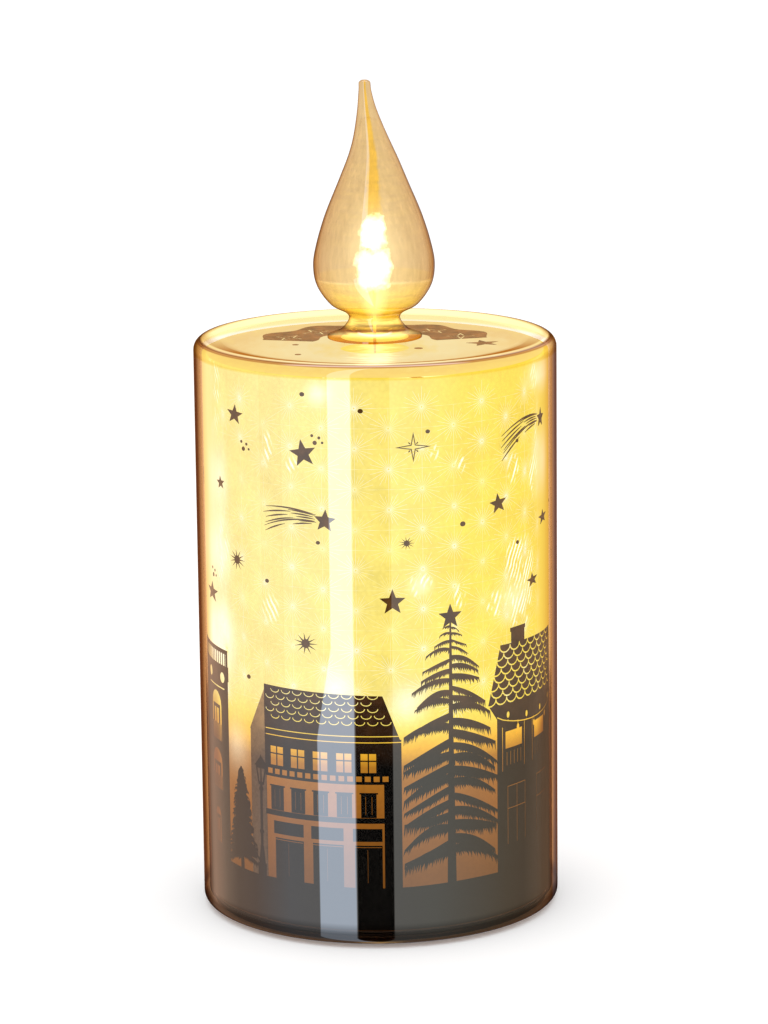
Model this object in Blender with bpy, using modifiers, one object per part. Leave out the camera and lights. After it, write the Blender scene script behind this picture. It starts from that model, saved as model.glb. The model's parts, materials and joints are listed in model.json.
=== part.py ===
"""Flameless LED glass candle: an amber glass cylinder with a hollow glass flame, a rolled picture film and
a patterned light film inside it, a string of tiny lamps, and a base with a battery box and a timer switch.

The frame: +Z up, origin on the table at the candle's axis, -Y to the front. Lengths are in millimetres here and
become metres through MM.
"""

import math

import bmesh
import bpy
from mathutils import Vector

MM = 0.001
GAP = 0.3  # running gap between neighbouring pieces

# Glass body
GLASS_RADIUS = 50.0
GLASS_BOTTOM = 1.0
GLASS_TOP = 160.5
GLASS_WALL = 1.6
SHOULDER_RADIUS = 3.2
HEEL_RADIUS = 2.0
MOUTH_RADIUS = 46.8  # the turned-in bottom rim
DISH_DEPTH = 0.8
DISH_RADIUS = 42.0
TOP_THICKNESS = 2.0
NECK_HOLE_RADIUS = 8.5
GLASS_STEPS = 48

# Glass flame, heights above the dished top
FLAME_BASE = GLASS_TOP - DISH_DEPTH
FLAME_HEIGHT = 71.0
FLAME_WALL = 1.2
FLAME_LEAN = 2.0
FLAME_LEAN_START = 48.0
FLAME_HOLLOW_TOP = 61.0
FLAME_STEPS = 28

# Films inside the glass
FILM_THICKNESS = 0.3
FILM_BOTTOM = 4.4
FILM_TOP = GLASS_TOP - 4.2
PICTURE_RADIUS = 47.7
LIGHT_FILM_RADIUS = 46.5
PICTURE_SEAM_DEG = -130.7
TUCK_DEG = 16.0
TUCK_DEPTH = 0.6
TOP_FILM_RADIUS = 46.4

# Base
BASE_RADIUS = 45.8
BASE_BOTTOM = 1.0
PLATE_THICKNESS = 2.0
HOUSING_TOP = 21.0
HOUSING_WALL = 1.5
FOOT_RADIUS = 4.0
FOOT_CIRCLE = 40.0
FOOT_SINK = 0.6
SCREW_CIRCLE = 38.0
SCREW_HEAD_RADIUS = 2.5
SCREW_RADIUS = 1.25
SCREW_TIP = 13.0

# Battery box and its door
CELL_RADIUS = 5.25
CELL_LENGTH = 44.5
CELL_PITCH = 11.2
CELL_HEIGHT = 8.6
SPRING_WIRE = 0.35
WELL = (52.0, 34.0)
WELL_WALL = 3.0
WELL_CEILING = 15.6
WELL_TOP = 17.0
CONTACT_X = WELL[0] / 2 - 0.5
CELL_SHIFT = CONTACT_X - 0.2 - GAP - CELL_LENGTH / 2  # the button end meets its contact
RECESS = (55.0, 37.0)
RECESS_CEILING = 2.8
DOOR_THICKNESS = 1.6
DOOR_HINGE_X = -RECESS[0] / 2
TAB_SPACING = 10.0
TAB_WIDTH = 4.0
TAB_REACH = 2.0
LATCH_LIP = 3.6  # top of the lip that holds the latch's catch

LEAD_HOLE = (24.0, 14.4)

# Board and switch
BOARD = (36.0, 13.0, 1.2)
BOARD_Y = -31.0
BOARD_Z = 7.8
SWITCH_BODY = (9.0, 4.6, 4.0)
SWITCH_TRAVEL = 2.0
SWITCH_SLOT = (8.0, 3.4)

# Lamp string
WIRE_RADIUS = 0.45
HELIX_RADIUS = 29.0
HELIX_BOTTOM = 34.0
HELIX_TOP = 138.0
HELIX_TURNS = 3
HELIX_POINTS = 20  # for each turn
LAMP_LENGTH = 4.0
LAMP_RADIUS = 1.7
LAMP_EVERY = 6  # wire segments between two lamps
FLAME_LAMP_HEIGHTS = (19.0, 29.0)  # above the dished top


def clear_scene():
    for item in list(bpy.data.objects):
        bpy.data.objects.remove(item)


def new_collection(name):
    made = bpy.data.collections.new(name)
    bpy.context.scene.collection.children.link(made)
    return made


def finish(name, colour, roughness, metallic=0.0, transmission=0.0):
    """A plain Principled material."""
    made = bpy.data.materials.new(name)
    made.use_nodes = True
    shader = made.node_tree.nodes["Principled BSDF"]
    shader.inputs["Base Color"].default_value = (*colour, 1.0)
    shader.inputs["Roughness"].default_value = roughness
    shader.inputs["Metallic"].default_value = metallic
    shader.inputs["Transmission Weight"].default_value = transmission
    return made


clear_scene()
CANDLE = new_collection("led_glass_candle")
CUTTERS = new_collection("cutters")
AMBER_GLASS = finish("amber_glass", (0.95, 0.72, 0.30), 0.04, transmission=0.9)
PICTURE_FILM = finish("picture_film", (0.16, 0.11, 0.07), 0.4)
LIGHT_FILM = finish("light_film", (1.0, 0.86, 0.35), 0.5)
BLACK_PLASTIC = finish("black_plastic", (0.03, 0.03, 0.035), 0.45)
RUBBER = finish("rubber", (0.05, 0.05, 0.05), 0.85)
SILICONE = finish("silicone", (0.05, 0.045, 0.04), 0.45)
NICKEL = finish("nickel", (0.72, 0.70, 0.66), 0.25, 1.0)
ZINC_STEEL = finish("zinc_steel", (0.60, 0.60, 0.62), 0.35, 1.0)
CELL_WRAP = finish("cell_wrap", (0.10, 0.22, 0.14), 0.35)
GREEN_BOARD = finish("green_board", (0.04, 0.22, 0.09), 0.4)
CHIP_BLACK = finish("chip_black", (0.02, 0.02, 0.02), 0.5)
COPPER = finish("copper", (0.75, 0.42, 0.20), 0.3, 1.0)
RED_PVC = finish("red_pvc", (0.60, 0.03, 0.03), 0.4)
BLACK_PVC = finish("black_pvc", (0.02, 0.02, 0.02), 0.4)
LAMP_RESIN = finish("lamp_resin", (1.0, 0.85, 0.45), 0.1)
WHITE_PLASTIC = finish("white_plastic", (0.85, 0.85, 0.82), 0.4)


def place(name, mesh_or_curve, material, location=(0, 0, 0), collection=CANDLE):
    """Links a named object; its location is in millimetres."""
    made = bpy.data.objects.new(name, mesh_or_curve)
    made.location = Vector(location) * MM
    if material is not None:
        mesh_or_curve.materials.append(material)
    collection.objects.link(made)
    return made


def block(name, size, centre, material=None, bevel=0.0, collection=CANDLE):
    """A box of this size about its centre, in millimetres, with rounded edges if bevel is above 0."""
    mesh = bpy.data.meshes.new(name)
    shape = bmesh.new()
    bmesh.ops.create_cube(shape, size=1.0)
    bmesh.ops.scale(shape, vec=Vector(size) * MM, verts=shape.verts)
    shape.to_mesh(mesh)
    shape.free()
    made = place(name, mesh, material, centre, collection)
    if bevel:
        rounding = made.modifiers.new("rounded_edges", "BEVEL")
        rounding.width = bevel * MM
        rounding.segments = 2
    return made


def rod(name, radius, bottom, top, at=(0, 0), material=None, steps=24, collection=CANDLE):
    """An upright cylinder from height bottom to height top."""
    mesh = bpy.data.meshes.new(name)
    shape = bmesh.new()
    depth = (top - bottom) * MM
    bmesh.ops.create_cone(
        shape, cap_ends=True, segments=steps, radius1=radius * MM, radius2=radius * MM, depth=depth
    )
    shape.to_mesh(mesh)
    shape.free()
    mesh.shade_smooth()
    mesh.set_sharp_from_angle(angle=math.radians(40))
    return place(name, mesh, material, (*at, (bottom + top) / 2), collection)


def turned(name, profile, steps, material, location=(0, 0, 0), closed=False):
    """Turns an outline of (radius, height) points about Z. It runs down its outer side; closed joins its ends."""
    mesh = bpy.data.meshes.new(name)
    points = [(radius * MM, 0, height * MM) for radius, height in profile]
    edges = [(i, i + 1) for i in range(len(points) - 1)]
    if closed:
        edges.append((len(points) - 1, 0))
    mesh.from_pydata(points, edges, [])
    made = place(name, mesh, material, location)
    screw = made.modifiers.new("turned", "SCREW")
    screw.steps = steps
    screw.render_steps = steps
    screw.use_merge_vertices = True
    screw.merge_threshold = 0.00001
    screw.use_smooth_shade = True
    return made


def wire(name, points, radius, material, resolution=1):
    """A round wire through points in millimetres."""
    curve = bpy.data.curves.new(name, "CURVE")
    curve.dimensions = "3D"
    curve.bevel_depth = radius * MM
    curve.bevel_resolution = resolution
    curve.use_fill_caps = True
    spline = curve.splines.new("POLY")
    spline.points.add(len(points) - 1)
    for target, point in zip(spline.points, points):
        target.co = (*(Vector(point) * MM), 1.0)
    return place(name, curve, material)


def flat_outline(name, outline, bottom, top, material, collection=CANDLE):
    """A closed outline of (x, y) points, filled, from height bottom to height top."""
    curve = bpy.data.curves.new(name, "CURVE")
    curve.dimensions = "2D"
    curve.fill_mode = "BOTH"
    curve.extrude = (top - bottom) / 2 * MM
    spline = curve.splines.new("POLY")
    spline.points.add(len(outline) - 1)
    for target, (x, y) in zip(spline.points, outline):
        target.co = (x * MM, y * MM, 0, 1.0)
    spline.use_cyclic_u = True
    return place(name, curve, material, (0, 0, (bottom + top) / 2), collection)


def as_mesh(item):
    """Replaces a curve object, or one with modifiers, by a welded mesh object of the same name and place."""
    bpy.context.view_layer.update()
    graph = bpy.context.evaluated_depsgraph_get()
    mesh = bpy.data.meshes.new_from_object(item.evaluated_get(graph), depsgraph=graph)
    shape = bmesh.new()
    shape.from_mesh(mesh)
    bmesh.ops.remove_doubles(shape, verts=shape.verts, dist=0.000002)
    bmesh.ops.recalc_face_normals(shape, faces=shape.faces)
    shape.to_mesh(mesh)
    shape.free()
    name, matrix, collection = item.name, item.matrix_world.copy(), item.users_collection[0]
    bpy.data.objects.remove(item)
    made = bpy.data.objects.new(name, mesh)
    made.matrix_world = matrix
    collection.objects.link(made)
    return made


def as_cutter(item):
    """Hides an object that only shapes another."""
    for owner in list(item.users_collection):
        owner.objects.unlink(item)
    CUTTERS.objects.link(item)
    item.hide_render = True
    item.display_type = "WIRE"
    return item


def boolean(target, tool, operation):
    step = target.modifiers.new(tool.name, "BOOLEAN")
    step.operation = operation
    step.object = as_cutter(tool)
    return target


def cut(target, *tools):
    for tool in tools:
        boolean(target, tool, "DIFFERENCE")
    return target


def join(target, *tools):
    for tool in tools:
        boolean(target, tool, "UNION")
    return target


def arc(centre, radius, start, end, steps):
    """Points on an arc in the (radius, height) plane, angles in degrees from outward, anticlockwise."""
    angles = [math.radians(start + (end - start) * i / steps) for i in range(steps + 1)]
    return [(centre[0] + radius * math.cos(a), centre[1] + radius * math.sin(a)) for a in angles]


def smooth_line(points, steps):
    """Points on a Catmull-Rom line through the given points, with this many steps between each two."""
    rows = [Vector(p) for p in points]
    rows = [2 * rows[0] - rows[1], *rows, 2 * rows[-1] - rows[-2]]
    line = []
    for a, b, c, d in zip(rows, rows[1:], rows[2:], rows[3:]):
        for i in range(steps):
            t = i / steps
            square = (2 * a - 5 * b + 4 * c - d) * t**2
            cube = (3 * b - a - 3 * c + d) * t**3
            line.append(0.5 * (2 * b + (c - a) * t + square + cube))
    return [*line, rows[-2]]


def on_circle(radius, degrees):
    return (radius * math.cos(math.radians(degrees)), radius * math.sin(math.radians(degrees)))


def glass_body():
    """The straight wall, its rounded shoulder and heel, and the dished top with the hole under the flame."""
    r, top = GLASS_RADIUS, GLASS_TOP
    inner = r - GLASS_WALL
    dish = top - DISH_DEPTH
    outer_side = [
        (NECK_HOLE_RADIUS, dish),
        (DISH_RADIUS, dish),
        (DISH_RADIUS + 2.0, dish + 0.35 * DISH_DEPTH),
        *arc((r - SHOULDER_RADIUS, top - SHOULDER_RADIUS), SHOULDER_RADIUS, 90, 0, 5),
        *arc((r - HEEL_RADIUS, GLASS_BOTTOM + HEEL_RADIUS), HEEL_RADIUS, 0, -90, 4),
        (MOUTH_RADIUS, GLASS_BOTTOM),
    ]
    underside = dish - TOP_THICKNESS
    inner_side = [
        (MOUTH_RADIUS, GLASS_BOTTOM + 1.2),
        (inner, GLASS_BOTTOM + 2.8),
        *arc((inner - 1.6, underside - 0.8), 1.6, 0, 90, 3),
        (DISH_RADIUS, underside),
        (NECK_HOLE_RADIUS, underside),
    ]
    return turned("glass_body", outer_side + inner_side, GLASS_STEPS, AMBER_GLASS, closed=True)


def flame_radius_points():
    """The flame's outer side as (radius, height), from its nub down to its flared foot."""
    return [
        (1.6, 70.2),
        (1.8, 67.6),
        (2.85, 62.1),
        (5.3, 53.9),
        (9.25, 44.0),
        (13.3, 34.2),
        (15.8, 26.0),
        (16.7, 20.2),
        (15.7, 14.7),
        (12.1, 9.6),
        (7.9, 7.2),
        (7.1, 5.3),
        (9.3, 2.5),
        (13.0, 0.9),
    ]


def flame_glass():
    """A hollow drop with a solid nub at its tip and an open flared foot, leaning a little at the tip."""
    outer = [(0.0, FLAME_HEIGHT), (1.1, FLAME_HEIGHT - 0.25)]
    outer += [tuple(p) for p in smooth_line(flame_radius_points(), 2)]
    outer.append((13.0, GAP))
    thick_enough = FLAME_WALL + 0.9
    hollow = [(r - FLAME_WALL, h) for r, h in outer if 1.5 < h < FLAME_HOLLOW_TOP and r > thick_enough]
    inner = [(9.3, GAP), *reversed(hollow), (0.0, FLAME_HOLLOW_TOP)]
    made = as_mesh(turned("flame_glass", outer + inner, FLAME_STEPS, AMBER_GLASS, (0, 0, FLAME_BASE)))
    for point in made.data.vertices:
        t = (point.co.z / MM - FLAME_LEAN_START) / (FLAME_HEIGHT - FLAME_LEAN_START)
        t = min(max(t, 0.0), 1.0)
        point.co.x -= FLAME_LEAN * MM * t * t * (3 - 2 * t)
    return made


def rolled_film(name, radius, seam, tuck, material):
    """A film rolled once round, as an upright strip: its last few degrees tuck in under its first edge."""
    steps = 60
    turn = 360 + (TUCK_DEG / 2 if tuck else -1)

    def at(degrees):
        share = max(0.0, (degrees - 360 + TUCK_DEG) / TUCK_DEG)
        return radius - tuck * min(1.0, share)

    angles = [turn * i / steps for i in range(steps + 1)]
    outer = [on_circle(at(a), seam + a) for a in angles]
    inner = [on_circle(at(a) - FILM_THICKNESS, seam + a) for a in reversed(angles)]
    return flat_outline(name, outer + inner, FILM_BOTTOM, FILM_TOP, material)


def top_film():
    """The picture's round top piece, under the glass top, with a hole for the lamp string."""
    ring = [
        (TOP_FILM_RADIUS, FILM_TOP + GAP + FILM_THICKNESS),
        (TOP_FILM_RADIUS, FILM_TOP + GAP),
        (NECK_HOLE_RADIUS + 1, FILM_TOP + GAP),
        (NECK_HOLE_RADIUS + 1, FILM_TOP + GAP + FILM_THICKNESS),
    ]
    return turned("top_film", ring, GLASS_STEPS, PICTURE_FILM, closed=True)


def base_seal():
    """The silicone bead between the glass rim and the base."""
    ring = [(46.6, 2.5), (46.6, 1.3), (46.0, 1.3), (46.0, 2.5)]
    return turned("base_seal", ring, GLASS_STEPS, SILICONE, closed=True)


def screw_places():
    return [on_circle(SCREW_CIRCLE, 45 + 90 * i) for i in range(4)]


def foot_places():
    return [on_circle(FOOT_CIRCLE, 90 * i) for i in range(4)]


def base_plate():
    """The round underside with the battery box standing on it."""
    plate_top = BASE_BOTTOM + PLATE_THICKNESS
    plate = rod("base_plate", BASE_RADIUS, BASE_BOTTOM, plate_top, material=BLACK_PLASTIC, steps=GLASS_STEPS)
    box_bottom = plate_top - 1.0
    box_size = (WELL[0] + 2 * WELL_WALL, WELL[1] + 2 * WELL_WALL, WELL_TOP - box_bottom)
    join(plate, block("box_walls", box_size, (0, 0, (WELL_TOP + box_bottom) / 2)))
    for i, x in enumerate((-14.5, 14.5)):
        join(plate, rod(f"board_post_{i}", 2.2, plate_top - 0.5, BOARD_Z - GAP, (x, BOARD_Y)))
    recess_height = RECESS_CEILING - BASE_BOTTOM + 2
    cut(plate, block("door_recess", (*RECESS, recess_height), (0, 0, RECESS_CEILING - recess_height / 2)))
    well_height = WELL_CEILING - BASE_BOTTOM
    cut(plate, block("battery_well", (*WELL, well_height), (0, 0, WELL_CEILING - well_height / 2)))
    for side in (-1, 1):
        notch_x = DOOR_HINGE_X - 0.5
        cut(plate, block(f"tab_notch_{side}", (5.6, TAB_WIDTH + 1.2, 3.6), (notch_x, side * TAB_SPACING, 4.2)))
        lead_hole = rod(f"lead_hole_{side}", 1.0, -4.0, 4.0, steps=10)
        lead_hole.rotation_euler.x = math.pi / 2
        lead_hole.location = Vector((side * LEAD_HOLE[0], -WELL[1] / 2 - WELL_WALL / 2, LEAD_HOLE[1])) * MM
        cut(plate, lead_hole)
    catch_pocket = block("catch_pocket", (1.6, 9.2, 1.8), (WELL[0] / 2 + 0.3, 0, LATCH_LIP + 0.9))
    thumb_notch = rod("thumb_notch", 6.0, -1.0, BASE_BOTTOM + 0.9, (RECESS[0] / 2 + 1.5, 0))
    switch_slot = block("switch_slot", (*SWITCH_SLOT, 6.0), (0, BOARD_Y, 2.0))
    finger_recess = block("finger_recess", (13.0, 7.0, 3.0), (0, BOARD_Y, BASE_BOTTOM - 0.7))
    cut(plate, catch_pocket, thumb_notch, switch_slot, finger_recess)
    for i, at in enumerate(screw_places()):
        cut(plate, rod(f"head_recess_{i}", SCREW_HEAD_RADIUS + 0.4, -1.0, BASE_BOTTOM + 1.2, at, steps=16))
        cut(plate, rod(f"screw_hole_{i}", SCREW_RADIUS + 0.4, 0.0, plate_top + 1, at, steps=16))
    for i, at in enumerate(foot_places()):
        cut(plate, rod(f"foot_recess_{i}", FOOT_RADIUS + GAP, -1.0, BASE_BOTTOM + FOOT_SINK, at, steps=20))
    return plate


def base_housing():
    """The cup over the battery box and board: its floor faces up and carries the lamp string's grommet."""
    bottom = BASE_BOTTOM + PLATE_THICKNESS + GAP
    inner = BASE_RADIUS - HOUSING_WALL
    ceiling = HOUSING_TOP - HOUSING_WALL
    outline = [
        (3.0, HOUSING_TOP),
        *arc((BASE_RADIUS - 1.2, HOUSING_TOP - 1.2), 1.2, 90, 0, 2),
        (BASE_RADIUS, bottom),
        (inner, bottom),
        (inner, ceiling),
        (3.0, ceiling),
    ]
    cup = as_mesh(turned("base_housing", outline, GLASS_STEPS, BLACK_PLASTIC, closed=True))
    for i, at in enumerate(screw_places()):
        join(cup, rod(f"boss_{i}", 3.4, bottom, ceiling + 0.5, at, steps=16))
    for i, at in enumerate(screw_places()):
        cut(cup, rod(f"boss_bore_{i}", SCREW_RADIUS + GAP, bottom - 1, SCREW_TIP + 2, at, steps=16))
    return cup


def battery_door():
    """The door, with two hook tabs at its hinge edge and a latch at the other. Its parent is on the hinge axis."""
    size = (RECESS[0] - 2 * GAP, RECESS[1] - 2 * GAP, DOOR_THICKNESS)
    door = block("battery_door", size, (0, 0, BASE_BOTTOM + DOOR_THICKNESS / 2), BLACK_PLASTIC)
    door_top = BASE_BOTTOM + DOOR_THICKNESS
    for side in (-1, 1):
        tab_size = (TAB_REACH + 3.0, TAB_WIDTH, 1.4)
        tab_x = DOOR_HINGE_X - TAB_REACH + tab_size[0] / 2
        join(door, block(f"tab_{side}", tab_size, (tab_x, side * TAB_SPACING, door_top + 0.1 + 0.7)))
        root_centre = (DOOR_HINGE_X + 2.0, side * TAB_SPACING, door_top)
        join(door, block(f"tab_root_{side}", (2.0, TAB_WIDTH, 1.0), root_centre))
    latch_x = WELL[0] / 2 - GAP
    join(door, block("latch_arm", (0.9, 8.0, 2.6), (latch_x - 0.45, 0, door_top + 1.0)))
    join(door, block("latch_catch", (1.2, 8.0, 0.7), (latch_x + 0.1, 0, LATCH_LIP + GAP + 0.35)))
    for i in range(4):
        cut(door, block(f"grip_groove_{i}", (0.8, 16.0, 1.0), (latch_x - 8.0 - 2.0 * i, 0, BASE_BOTTOM - 0.1)))
    for side in (-1, 1):
        cut(door, block(f"latch_slot_{side}", (7.0, 0.8, 8.0), (latch_x - 1.8, side * 5.0, BASE_BOTTOM)))
    hinge = bpy.data.objects.new("door_hinge", None)
    hinge.location = Vector((DOOR_HINGE_X, 0, BASE_BOTTOM)) * MM
    CANDLE.objects.link(hinge)
    bpy.context.view_layer.update()
    for piece in (door, *[step.object for step in door.modifiers if step.type == "BOOLEAN"]):
        piece.parent = hinge
        piece.matrix_parent_inverse = hinge.matrix_world.inverted()
    return door


def cell(index):
    """One dry cell lying along X; neighbours face opposite ways."""
    half = CELL_LENGTH / 2
    outline = [
        (0.0, half),
        (1.8, half),
        (1.8, half - 0.9),
        (CELL_RADIUS - 0.4, half - 0.9),
        (CELL_RADIUS, half - 1.4),
        (CELL_RADIUS, -half + 0.4),
        (CELL_RADIUS - 0.5, -half),
        (0.0, -half),
    ]
    facing = -1 if index == 1 else 1
    made = turned(f"battery_{index + 1}", outline, 20, CELL_WRAP)
    made.rotation_euler.y = facing * math.pi / 2
    made.location = Vector((facing * CELL_SHIFT, (index - 1) * CELL_PITCH, CELL_HEIGHT)) * MM
    return made


def contact(name, end, plate_y, width, spring_y=None):
    """A contact plate at one end of the box (end is -1 or 1), with a coil spring where a cell's flat end is."""
    plate_x = end * CONTACT_X
    plate = block(name, (0.4, width, 8.4), (plate_x, plate_y, 9.6), NICKEL)
    if spring_y is not None:
        turns, per_turn = 3, 10
        length = CONTACT_X - (CELL_LENGTH / 2 - CELL_SHIFT) - SPRING_WIRE - GAP
        count = turns * per_turn
        points = []
        for i in range(count + 1):
            angle = math.tau * i / per_turn
            coil = 3.0 - 0.8 * i / count
            along = plate_x - end * length * i / count
            points.append((along, spring_y + coil * math.cos(angle), CELL_HEIGHT + coil * math.sin(angle)))
        join(plate, as_mesh(wire(f"{name}_spring", points, SPRING_WIRE, None)))
    return plate


def contacts():
    y = CELL_PITCH
    contact("contact_negative", -1, -y, 9.0, -y)
    contact("contact_positive", 1, y, 9.0)
    contact("contact_bridge_1", 1, -y / 2, 20.0, 0.0)
    contact("contact_bridge_2", -1, y / 2, 20.0, y)


def base_screw(name, at):
    """A round-head screw driven up from below, with a cross in its head."""
    radius, head_radius = SCREW_RADIUS, SCREW_HEAD_RADIUS
    head_z = BASE_BOTTOM + 0.1
    outline = [
        (0.0, SCREW_TIP),
        (radius * 0.5, SCREW_TIP - 0.8),
        (radius, SCREW_TIP - 2.2),
        (radius, head_z + 1.0),
        (head_radius, head_z + 0.9),
        (head_radius * 0.86, head_z + 0.3),
        (head_radius * 0.5, head_z),
        (0.0, head_z),
    ]
    screw = turned(name, outline, 14, ZINC_STEEL)
    for i, (w, d) in enumerate(((head_radius * 1.1, 0.5), (0.5, head_radius * 1.1))):
        cut(screw, block(f"{name}_cross_{i}", (w, d, 1.2), (0, 0, head_z)))
    for piece in (screw, *[step.object for step in screw.modifiers if step.type == "BOOLEAN"]):
        piece.location.x += at[0] * MM
        piece.location.y += at[1] * MM
    return screw


def board_and_parts():
    """The timer board above the switch, with its chip, crystal and capacitor."""
    size = BOARD
    board = block("timer_board", size, (0, BOARD_Y, BOARD_Z + size[2] / 2), GREEN_BOARD)
    top = BOARD_Z + size[2] + 0.1
    for i, x in enumerate((-14.5, 14.5)):
        cut(board, rod(f"board_hole_{i}", 1.3, BOARD_Z - 2, BOARD_Z + 4, (x, BOARD_Y), steps=12))
        base_post_screw(i, x)
    block("timer_chip", (5.0, 4.0, 1.5), (-5.5, BOARD_Y + 1.5, top + 0.75), CHIP_BLACK, 0.2)
    rod("timer_capacitor", 2.5, top, top + 6.0, (8.5, BOARD_Y + 2.0), NICKEL, 16)
    crystal = rod("timer_crystal", 1.0, -3.0, 3.0, material=NICKEL, steps=12)
    crystal.rotation_euler.y = math.pi / 2
    crystal.location = Vector((-4.0, BOARD_Y - 4.0, top + 1.1)) * MM
    return board


def base_post_screw(index, x):
    """One of the two small screws that hold the board to its posts, head up."""
    top = BOARD_Z + BOARD[2] + 0.1
    outline = [
        (0.0, top + 1.0),
        (1.1, top + 0.9),
        (1.9, top + 0.4),
        (1.9, top),
        (0.9, top),
        (0.9, BOARD_Z - 0.1),
        (0.0, BOARD_Z - 0.1),
    ]
    return turned(f"board_screw_{index + 1}", outline, 14, ZINC_STEEL, (x, BOARD_Y, 0))


def timer_switch():
    """The three-position slide switch under the board, and its slider, which reaches through the base plate."""
    body_z = BOARD_Z - 0.2 - SWITCH_BODY[2] / 2
    body = block("switch_body", SWITCH_BODY, (0, BOARD_Y, body_z), ZINC_STEEL)
    cut(body, block("slider_channel", (7.4, 2.0, 3.0), (0, BOARD_Y, body_z - SWITCH_BODY[2] / 2)))
    slider_size = (3.2, SWITCH_SLOT[1] - 2 * GAP, 2.0)
    slider = block("switch_slider", slider_size, (0, BOARD_Y, BASE_BOTTOM + 1.2), WHITE_PLASTIC)
    join(slider, block("slider_neck", (2.0, 1.3, 1.9), (0, BOARD_Y, BASE_BOTTOM + 2.85)))
    for i in (-1, 0, 1):
        cut(slider, block(f"slider_groove_{i}", (0.4, 4.0, 0.8), (0.9 * i, BOARD_Y, BASE_BOTTOM + 0.2)))
    return body


def leads():
    """The two leads from the end contacts, through the battery box wall, down to the board."""
    board_top = BOARD_Z + BOARD[2] + 0.9
    for name, side, material in (("lead_red", 1, RED_PVC), ("lead_black", -1, BLACK_PVC)):
        x, z = side * LEAD_HOLE[0], LEAD_HOLE[1]
        knots = [
            (x + side * 1.2, -12.5, z + 0.4),
            (x + side * 0.6, -15.0, z + 0.2),
            (x, -WELL[1] / 2, z),
            (x, -WELL[1] / 2 - WELL_WALL, z),
            (side * 22.5, -23.0, 13.8),
            (side * 17.0, -26.0, 11.4),
            (side * 12.0, -27.0, board_top),
        ]
        wire(name, smooth_line(knots, 2), 0.6, material)


def lamp_string_points():
    """The lamp wire's path: board, grommet, a wide helix in the body, then up through the neck to the flame."""
    feed = [
        (3.0, BOARD_Y + 3.0, BOARD_Z + 2.2),
        (3.0, BOARD_Y + 4.0, 15.0),
        (2.0, -22.0, 18.2),
        (0.0, -2.0, 18.2),
        (0.0, 0.0, 19.0),
    ]
    count = HELIX_TURNS * HELIX_POINTS
    helix = []
    for i in range(count + 1):
        x, y = on_circle(HELIX_RADIUS, 30 + 360 * i / HELIX_POINTS)
        helix.append((x, y, HELIX_BOTTOM + (HELIX_TOP - HELIX_BOTTOM) * i / count))
    lift = [(0.0, 0.0, 23.4), (4.0, -3.0, 26.0), (17.0, 0.0, HELIX_BOTTOM - 4.0), helix[0]]
    neck_start = [(17.0, 22.0, HELIX_TOP + 5.0), (5.0, 12.0, HELIX_TOP + 10.0), (0.0, 0.0, HELIX_TOP + 16.0)]
    start, end = (FLAME_BASE + h for h in FLAME_LAMP_HEIGHTS)
    flame = [
        (0.0, 0.0, start - LAMP_LENGTH / 2 - 1.0),
        (0.0, 0.0, start + LAMP_LENGTH / 2 + 1.0),
        (-1.2, 0.0, end - LAMP_LENGTH / 2 - 1.0),
        (-1.2, 0.0, end + LAMP_LENGTH / 2 + 1.0),
    ]
    rise = [*smooth_line(feed, 3), *smooth_line(lift, 4)[:-1]]
    neck = [*smooth_line([helix[-1], *neck_start], 4)[1:], (0.0, 0.0, FLAME_BASE + 12.0)]
    return rise, helix, neck, flame


def lamp(name, low, high):
    """A resin drop threaded on the straight wire between two points."""
    half = LAMP_LENGTH / 2
    bore = WIRE_RADIUS + 0.15
    angles = [math.pi * t / 6 for t in range(7)]
    outer = [(bore + (LAMP_RADIUS - bore) * math.sin(a), half * math.cos(a)) for a in angles]
    made = turned(name, outer, 12, LAMP_RESIN, closed=True)
    low, high = Vector(low), Vector(high)
    made.location = (low + high) / 2 * MM
    made.rotation_mode = "QUATERNION"
    made.rotation_quaternion = (high - low).to_track_quat("Z", "Y")
    return made


def lamp_string():
    """The copper lamp wire with ten lamps in the body and two in the flame."""
    rise, helix, neck, flame = lamp_string_points()
    wire("lamp_wire", [*rise, *helix, *neck, *flame], WIRE_RADIUS, COPPER)
    for number, i in enumerate(range(3, len(helix) - 1, LAMP_EVERY)):
        lamp(f"lamp_{number + 1:02d}", helix[i], helix[i + 1])
    lamp("flame_lamp_1", flame[0], flame[1])
    lamp("flame_lamp_2", flame[2], flame[3])


def grommet():
    """The soft ring that holds the lamp wire in the housing's top."""
    ceiling = HOUSING_TOP - HOUSING_WALL
    outline = [
        (0.8, HOUSING_TOP + 1.6),
        (3.6, HOUSING_TOP + 1.6),
        (4.4, HOUSING_TOP + GAP),
        (2.7, HOUSING_TOP + GAP),
        (2.7, ceiling + 0.2),
        (0.8, ceiling + 0.2),
    ]
    return turned("wire_grommet", outline, 20, RUBBER, closed=True)


def feet():
    for i, at in enumerate(foot_places()):
        pad = rod(f"foot_{i + 1}", FOOT_RADIUS, 0.0, BASE_BOTTOM + FOOT_SINK - GAP, at, RUBBER, 20)
        rounding = pad.modifiers.new("rounded_edges", "BEVEL")
        rounding.width = 0.25 * MM
        rounding.segments = 1


glass_body()
flame_glass()
rolled_film("picture_film", PICTURE_RADIUS, PICTURE_SEAM_DEG, TUCK_DEPTH, PICTURE_FILM)
rolled_film("light_film", LIGHT_FILM_RADIUS, 90.0, 0.0, LIGHT_FILM)
top_film()
base_seal()
base_plate()
base_housing()
battery_door()
for number in range(3):
    cell(number)
contacts()
for number, place_at in enumerate(screw_places()):
    base_screw(f"base_screw_{number + 1}", place_at)
board_and_parts()
timer_switch()
leads()
lamp_string()
grommet()
feet()
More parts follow.
